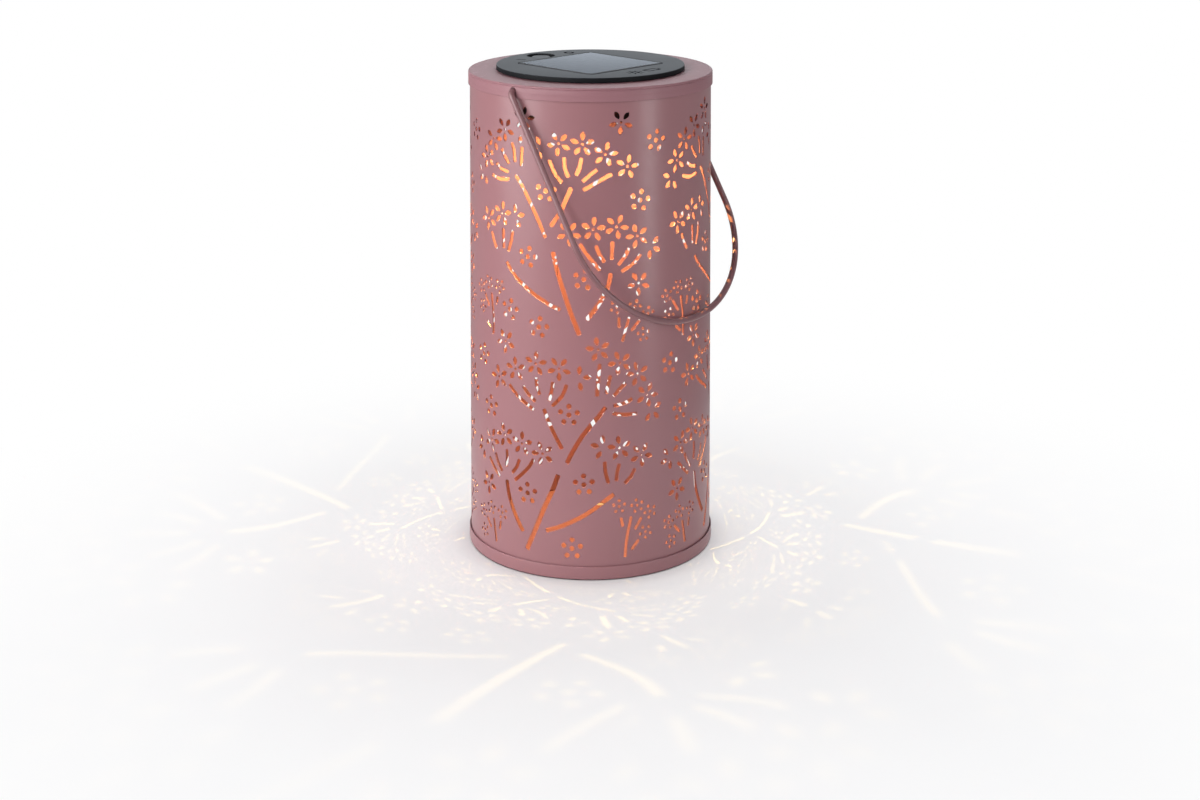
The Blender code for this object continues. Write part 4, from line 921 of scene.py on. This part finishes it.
# photovoltaic cell: strips, silver fingers and busbars
g = Nodes("photovoltaic_cell")
vec = g.coords((1, 1, 1), (0, 0, -math.radians(MODULE_TURN)))
sep = g.add("SeparateXYZ")
g.t.links.new(vec, sep.inputs[0])
x, y = g.math("MULTIPLY", sep.outputs[0], 1000), g.math("MULTIPLY", sep.outputs[1], 1000)
cellx = g.math("PINGPONG", g.math("ADD", x, 0.0), 6.25)
gap_line = g.math("LESS_THAN", g.math("ABSOLUTE", g.math("SUBTRACT", g.math("PINGPONG", x, 12.5), 0.0)), 0.42)
finger = g.math("LESS_THAN", g.math("PINGPONG", y, 0.8), 0.055)
bus = g.math("LESS_THAN", g.math("ABSOLUTE", g.math("SUBTRACT", g.math("PINGPONG", x, 6.25), 6.25)), 0.28)
grain = g.add("TexVoronoi", _feature="F1", Scale=420.0)
g.t.links.new(vec, grain.inputs["Vector"])
blue = g.mix(grain.outputs["Color"], (0.010, 0.014, 0.040), (0.022, 0.034, 0.085))
blue = g.mix(g.spread(g.noise(40, 3), 0, 0.5), blue, (0.030, 0.030, 0.060))
col = g.mix(g.math("MULTIPLY", finger, 0.45), blue, (0.42, 0.43, 0.45))
col = g.mix(bus, col, (0.55, 0.56, 0.58))
col = g.mix(gap_line, col, (0.30, 0.31, 0.33))
g.principled(Base_Color=col, Roughness=g.spread(g.noise(900, 2), 0.22, 0.36), Metallic=g.math("MULTIPLY", g.math("MAXIMUM", finger, bus), 0.4),
             Coat_Weight=0.4, Coat_Roughness=0.06)
CELL = g.m

# button
btn = finish_mesh("button_cap", loft([[(px, py + BUTTON_Y, pz) for px, py in circle(r, 64)] for r, pz in
                                      ([(1.6, 234.6), (1.6, 236.7), (4.65, 236.7), (4.8, 236.85), (4.8, DISC_TOP - 1.1)]
                                       + [(4.8 - 0.6 + 0.6 * math.cos(math.radians(a)), DISC_TOP - 1.1 + 0.6 * math.sin(math.radians(a))) for a in (20, 40, 60, 80)]
                                       + [(3.9, DISC_TOP - 0.47), (3.3, DISC_TOP - 0.58), (2.4, DISC_TOP - 0.68), (1.2, DISC_TOP - 0.74), (0.3, DISC_TOP - 0.76)])]), M_BUTTON, 40)
turned(btn)
seat(btn, "push_button", ("push_button",))

# housing cup
cup_profile = [(0, HOUSING_BOTTOM), (HOUSING_R - 1.2, HOUSING_BOTTOM)] + fillet(HOUSING_R - 1.2, HOUSING_BOTTOM + 1.2, 1.2, -90, 0, 6)[1:]
cup_profile += [(HOUSING_R, 234.5), (HOUSING_R - 0.2, 234.7), (HOUSING_R - WALL + 0.2, 234.7), (HOUSING_R - WALL, 234.5), (HOUSING_R - WALL, FLOOR + 0.6),
                (HOUSING_R - WALL - 0.6, FLOOR), (0, FLOOR)]
cup = finish_mesh("housing_cup", lathe(cup_profile, 128), M_CUP)
combine(cup, "UNION",
        *[tool(drum(3.4, FLOOR - 0.5, 220.1, px, py, 28)) for px, py in POSTS],
        *[tool(drum(2.4, FLOOR - 0.5, 225.0, k * 29.6, BATTERY_Y, 24)) for k in (-1, 1)],
        *[tool(drum(1.8, FLOOR - 0.5, 226.7, k * 14.0, 20.0, 20)) for k in (-1, 1)],
        tool(prism(rounded_rect(26.0, 6.85, 0.4, 0, BATTERY_Y, 3), FLOOR - 0.5, 228.5)))
combine(cup, "DIFFERENCE",
        tool(prism(rounded_rect(24.8, 5.65, 0.2, 0, BATTERY_Y, 1), FLOOR - 0.15, 230.0)),
        tool(prism(rounded_rect(24.3, 5.3, 0.2, 0, BATTERY_Y, 1), 214.0, FLOOR + 1)),
        tool(drum(10.4, 214, FLOOR + 1, 0, 0, 64)),
        *[tool(drum(1.4, 215, 222, px, py, 20)) for px, py in POSTS],
        *[tool(drum(2.6, 215, 218.4, px, py, 32)) for px, py in POSTS],
        *[tool(drum(1.4, 215, 223.5, k * 29.6, BATTERY_Y, 20)) for k in (-1, 1)])
turned(cup)
seat(cup, "module", ("module_housing",))

# reflector cone
refl_profile = [(9.3, HOUSING_BOTTOM + 0.1), (9.4, HOUSING_BOTTOM), (10.0, HOUSING_BOTTOM), (10.1, HOUSING_BOTTOM + 0.1), (10.1, FLOOR + 0.3),
                (11.3, FLOOR + 0.3), (11.3, FLOOR + 1.0), (9.5, FLOOR + 1.0), (4.6, 223.0), (3.2, 223.0), (3.2, 222.2)]
refl_profile += [(3.2 + 6.1 * i / 8, 222.2 - 6.1 * (i / 8) ** 1.25) for i in range(1, 8)]
refl = finish_mesh("reflector_cone", lathe(refl_profile, 96), None, 40)
g = Nodes("white_reflector")
n1 = g.noise(1500, 2)
g.principled(Base_Color=g.mix(g.noise(60, 3), (0.74, 0.74, 0.71), (0.84, 0.84, 0.81)), Roughness=g.spread(n1, 0.22, 0.38), Normal=g.bump(n1, 0.08, 0.00005))
refl.data.materials.append(g.m)
turned(refl)
seat(refl, "module", ("led_reflector",))

# lamp: clear warm dome with its flange, glowing from the die inside
tip = HOUSING_BOTTOM + 1.4
led_profile = [(0, tip)] + [(2.5 * math.cos(math.radians(a)), tip + 2.5 - 2.5 * math.sin(math.radians(a))) for a in (80, 70, 60, 50, 40, 30, 20, 10, 0)]
led_profile += [(2.5, tip + 7.0), (2.9, tip + 7.1), (2.9, tip + 8.0), (2.8, tip + 8.1), (0, tip + 8.1)]
led = finish_mesh("lamp_dome", lathe(led_profile, 48), None, 40)
combine(led, "UNION", *[tool(prism(rounded_rect(0.3, 0.3, 0.05, k * 1.27, 0, 1), tip + 7.5, 226.7)) for k in (-1, 1)])
g = Nodes("warm_lamp")
lay = g.add("LayerWeight", Blend=0.35)
hot = g.mix(lay.outputs["Facing"], (1.0, 0.86, 0.58), (1.0, 0.62, 0.26))
g.principled(Base_Color=g.mix(g.noise(500, 2), (0.95, 0.80, 0.45), (0.90, 0.72, 0.38)), Roughness=g.spread(g.noise(800, 2), 0.05, 0.15),
             Emission_Color=hot, Emission_Strength=9.0)
led.data.materials.append(g.m)
turned(led)
seat(led, "module", ("led_lamp",))
led.visible_shadow = False

# battery door, its gasket stays as the frame's
door = finish_mesh("battery_door_plate", prism(None, (213.9, rounded_rect(31.5, 7.0, 5.0, 0, BATTERY_Y)), (214.05, rounded_rect(31.95, 7.45, 5.4, 0, BATTERY_Y)),
                                               (214.5, rounded_rect(32.5, 8.0, 6.0, 0, BATTERY_Y)), (215.6, rounded_rect(32.5, 8.0, 6.0, 0, BATTERY_Y)),
                                               (215.7, rounded_rect(32.4, 7.9, 5.9, 0, BATTERY_Y))), M_DOOR)
ring = tool(prism(rounded_rect(26.7, 7.4, 1.6, 0, BATTERY_Y), 214.7, 216.5))
combine(ring, "DIFFERENCE", tool(prism(rounded_rect(25.1, 5.9, 0.8, 0, BATTERY_Y), 214.0, 217.0)))
combine(door, "DIFFERENCE", ring, *[tool(drum(1.4, 213, 217, k * 29.6, BATTERY_Y, 20)) for k in (-1, 1)],
        *[tool(prism(rounded_rect(0.35, 3.6, 0.3, k * 2.0, BATTERY_Y, 3), 213.0, 214.25)) for k in range(-4, 5)])
turned(door)
seat(door, "battery_door", ("battery_door",))


def fine_screw(name, px, py, z_head, head_r, length, turn, body, node):
    prof = [(0, z_head)] + [(head_r * math.sin(math.radians(a)), z_head + 0.9 - 0.9 * math.cos(math.radians(a))) for a in (15, 30, 45, 60, 75, 90)]
    prof += [(head_r, z_head + 1.35), (head_r - 0.15, z_head + 1.5), (1.1, z_head + 1.5)]
    z = z_head + 1.9
    while z < z_head + length - 1.4:  # thread ridges
        prof += [(0.82, z), (1.12, z + 0.22), (0.82, z + 0.44)]
        z += 0.62
    prof += [(0.8, z_head + length - 1.0), (0.35, z_head + length), (0, z_head + length)]
    o = finish_mesh(name, lathe(prof, 28), M_SCREW, 40)
    combine(o, "DIFFERENCE", tool(prism(rounded_rect(head_r * 0.62, 0.27, 0.1, 0, 0, 1), z_head - 0.5, z_head + 0.9)),
            tool(prism(rounded_rect(0.27, head_r * 0.62, 0.1, 0, 0, 1), z_head - 0.5, z_head + 0.9)))
    o.data.transform(Matrix.Translation((px * MM, py * MM, 0)) @ Matrix.Rotation(math.radians(turn), 4, "Z"))
    turned(o)
    return seat(o, body, (node,))


for i, (px, py) in enumerate(POSTS):
    fine_screw("screw_housing_%d" % (i + 1), px, py, 216.5, 2.2, 12.0, 20 + 33 * i, "module", "housing_screw_%d" % (i + 1))
for i, k in enumerate((-1, 1)):
    fine_screw("screw_door_%d" % (i + 1), k * 29.6, BATTERY_Y, 212.1, 2.1, 9.0, 15 + 40 * i, "battery_door", "door_screw_%d" % (i + 1))

# ------------------------------------------------------------------ finishes for the CAD pieces that stay as they are
g = Nodes("solder_mask_green")
n1 = g.noise(260, 2)
tr1 = g.add("TexBrick", Scale=240.0, Mortar__Size=0.03)
g.t.links.new(g.coords((1, 1, 1), (0, 0, -math.radians(MODULE_TURN))), tr1.inputs["Vector"])
g.principled(Base_Color=g.mix(g.math("MULTIPLY", tr1.outputs["Fac"], 0.6), g.mix(n1, (0.012, 0.10, 0.035), (0.02, 0.15, 0.055)), (0.05, 0.24, 0.09)),
             Roughness=g.spread(n1, 0.28, 0.42), Coat_Weight=0.3, Coat_Roughness=0.15)
BOARD = g.m
g = Nodes("battery_sleeve_green")
sep = g.add("SeparateXYZ")
g.t.links.new(g.coords((1, 1, 1), (0, 0, -math.radians(MODULE_TURN))), sep.inputs[0])
xx = g.math("MULTIPLY", sep.outputs[0], 1000)
band = g.math("GREATER_THAN", xx, 14.0)
nub = g.math("GREATER_THAN", xx, 22.3)
neg = g.math("LESS_THAN", xx, -20.3)
c = g.mix(band, g.mix(g.noise(60, 3), (0.03, 0.17, 0.07), (0.05, 0.23, 0.10)), (0.52, 0.53, 0.54))
c = g.mix(g.math("MAXIMUM", nub, neg), c, (0.6, 0.58, 0.54))
g.principled(Base_Color=c, Roughness=g.spread(g.noise(300, 3), 0.22, 0.36), Metallic=g.math("MAXIMUM", nub, neg), Coat_Weight=0.3)
BATTERY = g.m
g = Nodes("ferrite_and_winding")
sep = g.add("SeparateXYZ")
g.t.links.new(g.coords(), sep.inputs[0])
zz = g.math("MULTIPLY", sep.outputs[2], 1000)
mid = g.math("MULTIPLY", g.math("GREATER_THAN", zz, 229.55), g.math("LESS_THAN", zz, 231.7))
turnz = g.math("PINGPONG", zz, 0.16)
wire = g.mix(g.math("MULTIPLY", turnz, 6.0), (0.20, 0.05, 0.015), (0.55, 0.20, 0.07))
g.principled(Base_Color=g.mix(mid, g.mix(g.noise(900, 3), (0.03, 0.03, 0.03), (0.07, 0.07, 0.07)), wire), Roughness=g.spread(mid, 0.62, 0.32),
             Metallic=g.math("MULTIPLY", mid, 0.85))
COIL = g.m

FINISH = {
    "solar_cell": CELL, "panel_tape": M_FOAM, "module_gasket": M_SEAL, "circuit_board": BOARD,
    "charge_chip": moulded("chip_epoxy", (0.022, 0.022, 0.024), 0.5, grain=3000), "boost_coil": COIL,
    "led_seal": M_RUBBER, "push_switch": moulded("switch_black", (0.03, 0.03, 0.034), 0.42),
    "battery_cell": BATTERY, "contact_plate": M_NICKEL, "contact_spring": M_SPRING, "door_gasket": M_RUBBER,
    "solar_wire_red": moulded("pvc_red", (0.42, 0.02, 0.02), 0.38, grain=1200, strength=0.1),
    "battery_wire_red": moulded("pvc_red_2", (0.40, 0.02, 0.02), 0.38, grain=1200, strength=0.1),
    "solar_wire_black": moulded("pvc_black", (0.02, 0.02, 0.02), 0.38, grain=1200, strength=0.1),
    "battery_wire_black": moulded("pvc_black_2", (0.02, 0.02, 0.022), 0.38, grain=1200, strength=0.1),
    "switch_wire": moulded("pvc_grey", (0.26, 0.26, 0.27), 0.4, grain=1200, strength=0.1),
}
for node, mat in FINISH.items():
    o = frame["nodes"][node]
    o.data.materials.clear()
    o.data.materials.append(mat)

# ------------------------------------------------------------------ stage
CAM_AZ = math.radians(ART_ZERO)
WORLD_FRONT, WORLD_BACK = 0.18, 0.80
# name, azimuth from the camera, distance, height, width, tall, watts, aimed at height (metres)
SOFTBOXES = (
    ("key_left", -66, 0.80, 0.46, 0.58, 0.88, 7.4, 0.46),
    ("left_front", -34, 1.10, 0.53, 0.40, 0.22, 6.8, 0.12),
    ("strip_right", 53, 0.50, 0.31, 0.05, 0.60, 0.95, 0.31),
    ("right", 95, 0.70, 0.40, 0.25, 0.78, 0.15, 0.40),
)
g = Nodes("studio_floor")
sep = g.add("SeparateXYZ")
g.t.links.new(g.coords(), sep.inputs[0])
rr = g.math("SQRT", g.math("ADD", g.math("MULTIPLY", sep.outputs[0], sep.outputs[0]), g.math("MULTIPLY", sep.outputs[1], sep.outputs[1])))
fx = g.math("SUBTRACT", sep.outputs[0], 0.085 * math.sin(CAM_AZ) + 0.01 * math.cos(CAM_AZ))
fy = g.math("SUBTRACT", sep.outputs[1], -0.085 * math.cos(CAM_AZ) + 0.01 * math.sin(CAM_AZ))
fade = g.add("MapRange", _interpolation_type="SMOOTHSTEP")
g.put(fade.inputs["Value"], g.math("SQRT", g.math("ADD", g.math("MULTIPLY", fx, fx), g.math("MULTIPLY", fy, fy))))
fade.inputs["From Min"].default_value = 0.12
fade.inputs["From Max"].default_value = 0.40
tint = g.noise(9, 3)
dif = g.add("BsdfPrincipled", Base__Color=(0.9, 0.9, 0.9, 1))
g.put(dif.inputs["Base Color"], g.mix(tint, (0.83, 0.83, 0.835), (0.87, 0.87, 0.872)))
dif.inputs["Roughness"].default_value = 0.75
dif.inputs["Specular IOR Level"].default_value = 0.15
em = g.add("Emission", Color=(1, 1, 1, 1))
lp = g.add("LightPath")
g.put(em.inputs["Strength"], g.math("MULTIPLY_ADD", lp.outputs["Is Camera Ray"], 0.65, 0.35))
mx = g.add("MixShader")
g.t.links.new(fade.outputs[0], mx.inputs[0])
g.t.links.new(dif.outputs[0], mx.inputs[1])
g.t.links.new(em.outputs[0], mx.inputs[2])
# a painted pool of light round the foot, an emission seen only by the camera, keeps the table bright right up to the
# contact shadow
painted_pool = []
for near, far, low, high in ((TUBE_R * MM, TUBE_R * MM + 0.012, 0.0, 1.0), (TUBE_R * MM + 0.014, TUBE_R * MM + 0.085, 1.0, 0.0)):
    edge = g.add("MapRange", _interpolation_type="SMOOTHSTEP")
    g.put(edge.inputs["Value"], rr)
    for key, val in (("From Min", near), ("From Max", far), ("To Min", low), ("To Max", high)):
        edge.inputs[key].default_value = val
    painted_pool.append(edge.outputs[0])
glow = g.add("Emission", Color=(1.0, 0.98, 0.94, 1))
g.put(glow.inputs["Strength"], g.math("MULTIPLY", g.math("MULTIPLY", painted_pool[0], painted_pool[1]), g.math("MULTIPLY", lp.outputs["Is Camera Ray"], 0.09)))
both = g.add("AddShader")
g.t.links.new(mx.outputs[0], both.inputs[0])
g.t.links.new(glow.outputs[0], both.inputs[1])
g.t.links.new(both.outputs[0], g.out.inputs["Surface"])
bm = bmesh.new()
bmesh.ops.create_circle(bm, cap_ends=True, segments=96, radius=6.0)
floor = finish_mesh("studio_floor", bm, g.m)
floor.location = (0, 0, -0.0002)

world = bpy.data.worlds.new("studio")
SCN.world = world
world.use_nodes = True
wt = world.node_tree
wt.nodes.clear()


def wnode(kind, **sets):
    n = wt.nodes.new("ShaderNode" + kind)
    for k, v in sets.items():
        setattr(n, k, v)
    return n


# white sweep seen by the camera; as a light it is bright behind the object and dim on the camera's side
wo = wnode("OutputWorld")
lp = wnode("LightPath")
bgc = wnode("Background")
bgc.inputs["Color"].default_value = (1, 1, 1, 1)
bgc.inputs["Strength"].default_value = 1.0
tc = wnode("TexCoord")
dot = wnode("VectorMath", operation="DOT_PRODUCT")
dot.inputs[1].default_value = (-math.sin(CAM_AZ), math.cos(CAM_AZ), 0.0)
wt.links.new(tc.outputs["Generated"], dot.inputs[0])
ramp = wnode("MapRange", interpolation_type="SMOOTHSTEP")
ramp.inputs["From Min"].default_value = 0.35
ramp.inputs["From Max"].default_value = 0.92
ramp.inputs["To Min"].default_value = WORLD_FRONT
ramp.inputs["To Max"].default_value = WORLD_BACK
wt.links.new(dot.outputs["Value"], ramp.inputs["Value"])
bgl = wnode("Background")
bgl.inputs["Color"].default_value = (0.88, 0.94, 1.0, 1)
wt.links.new(ramp.outputs[0], bgl.inputs["Strength"])
wm = wnode("MixShader")
wt.links.new(lp.outputs["Is Camera Ray"], wm.inputs[0])
wt.links.new(bgl.outputs[0], wm.inputs[1])
wt.links.new(bgc.outputs[0], wm.inputs[2])
wt.links.new(wm.outputs[0], wo.inputs["Surface"])


def softbox(name, az_from_camera, dist, height, width, tall, power, aim=0.12, tone=(1.0, 1.0, 1.0)):
    """Area light placed by azimuth relative to the camera (0 = behind the camera, + to its right)."""
    a = CAM_AZ + math.radians(az_from_camera)
    loc = Vector((dist * math.sin(a), -dist * math.cos(a), height))
    d = bpy.data.lights.new(name, "AREA")
    d.shape = "RECTANGLE"
    d.size, d.size_y = width, tall
    d.energy = power
    d.color = tone
    o = bpy.data.objects.new(name, d)
    SCN.collection.objects.link(o)
    o.location = loc
    o.rotation_mode = "QUATERNION"
    o.rotation_quaternion = (Vector((0, 0, aim)) - loc).to_track_quat("-Z", "Y")
    o.visible_camera = False
    return o


def link_light(light, name, include=(), exclude=()):
    """Let a light reach only, or everything but, the given pieces."""
    group = bpy.data.collections.new(name)
    for o in (*include, *exclude):
        group.objects.link(o)
    for entry in group.collection_objects:
        entry.light_linking.link_state = "INCLUDE" if include else "EXCLUDE"
    light.light_linking.receiver_collection = group


# the soft boxes model the lantern; an overhead fill keeps the floor even all round
for spec in SOFTBOXES:
    link_light(softbox(*spec), "reach_" + spec[0], exclude=(floor,))
link_light(softbox("over_back", 180, 0.90, 0.93, 0.90, 0.30, 4.1, 0.236), "reach_over_back", include=(lid,))
link_light(softbox("floor_fill", 0, 0.02, 1.5, 2.2, 2.2, 33.0, 0.0, (1.0, 0.985, 0.975)), "reach_floor_fill", include=(floor,))
softbox("top", 0, 0.05, 1.30, 1.20, 1.20, 0.5, 0.12)


def shape_beam(lamp, *steps):
    """Weight a light by how steeply it points down: steps are (cosine, strength) pairs, joined smoothly."""
    lamp.use_nodes = True
    lt = lamp.node_tree
    emit = [n for n in lt.nodes if n.type == "EMISSION"][0]
    geo = lt.nodes.new("ShaderNodeNewGeometry")
    cut = lt.nodes.new("ShaderNodeSeparateXYZ")
    up = lt.nodes.new("ShaderNodeMath")
    up.operation = "ABSOLUTE"
    lt.links.new(geo.outputs["Incoming"], cut.inputs[0])
    lt.links.new(cut.outputs[2], up.inputs[0])
    last = None
    for (c0, s0), (c1, s1) in zip(steps, steps[1:]):
        span = lt.nodes.new("ShaderNodeMapRange")
        span.interpolation_type = "SMOOTHSTEP"
        for key, val in (("From Min", c0), ("From Max", c1), ("To Min", 1.0 if last else s0), ("To Max", s1 / s0 if last else s1)):
            span.inputs[key].default_value = val
        lt.links.new(up.outputs[0], span.inputs["Value"])
        if last:
            both = lt.nodes.new("ShaderNodeMath")
            both.operation = "MULTIPLY"
            lt.links.new(last, both.inputs[0])
            lt.links.new(span.outputs[0], both.inputs[1])
            last = both.outputs[0]
        else:
            last = span.outputs[0]
    lt.links.new(last, emit.inputs["Strength"])


# barn doors on the front box: the lantern's middle is lit a little more than its head and foot
shape_beam(bpy.data.lights["left_front"], (0.25, 0.52), (0.34, 1.0), (0.38, 1.0), (0.45, 0.66))

# the lamp's own light: amber once it has bounced about the painted inside, warm white where it leaves through the openings
for name, watts, tone in (("lamp_glow", 2.3, (1.0, 0.60, 0.18)), ("lamp_throw", 0.62, (1.0, 0.70, 0.16))):
    lamp = bpy.data.lights.new(name, "SPOT")
    lamp.energy = watts
    lamp.color = tone
    lamp.shadow_soft_size = 0.0012 if name == "lamp_glow" else 0.0011
    lamp.spot_size = math.radians(148)
    lamp.spot_blend = 0.54
    if name == "lamp_glow":
        shape_beam(lamp, (0.84, 1.0), (0.97, 1.45))
    else:
        shape_beam(lamp, (0.62, 0.45), (0.84, 1.0), (0.93, 1.45))
    lamp_o = bpy.data.objects.new(name, lamp)
    SCN.collection.objects.link(lamp_o)
    lamp_o.location = (0, 0, 0.219)
    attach(lamp_o, "module")
    if name == "lamp_glow":
        link_light(lamp_o, "reach_" + name, exclude=(floor,))
    else:
        link_light(lamp_o, "reach_" + name, include=(floor,))

cam_data = bpy.data.cameras.new("camera")
cam = bpy.data.objects.new("camera", cam_data)
SCN.collection.objects.link(cam)
CAM_DIST, CAM_H = 1.0215, 0.3965
cam.location = (CAM_DIST * math.sin(CAM_AZ), -CAM_DIST * math.cos(CAM_AZ), CAM_H)
cam.rotation_euler = (math.radians(90 - 3.604), 0, CAM_AZ)
cam_data.sensor_width = 36.0
cam_data.lens = 62.0
cam_data.clip_start, cam_data.clip_end = 0.01, 50
SCN.camera = cam
# the product shot uses a shifted lens; any other viewpoint looks straight
for prop, value in (("shift_x", 0.00798), ("shift_y", -0.4368)):
    drv = cam_data.driver_add(prop).driver
    drv.type = "SCRIPTED"
    var = drv.variables.new()
    var.name = "cx"
    var.type = "SINGLE_PROP"
    var.targets[0].id = cam
    var.targets[0].data_path = "location[0]"
    drv.expression = "%r if abs(cx - %r) < 0.0005 else 0.0" % (value, round(cam.location.x, 6))

# seen from below the table there is no floor in the way, and a box under it lights the underside
hide = floor.driver_add("hide_render").driver
hide.type = "SCRIPTED"
var = hide.variables.new()
var.name = "cz"
var.type = "SINGLE_PROP"
var.targets[0].id = cam
var.targets[0].data_path = "location[2]"
hide.expression = "cz < -0.0005"
under = softbox("under", 20, 0.45, -0.75, 0.9, 0.9, 9.0, 0.0)

SCN.view_settings.view_transform = "Standard"
SCN.view_settings.look = "None"
SCN.view_settings.exposure = 0.0
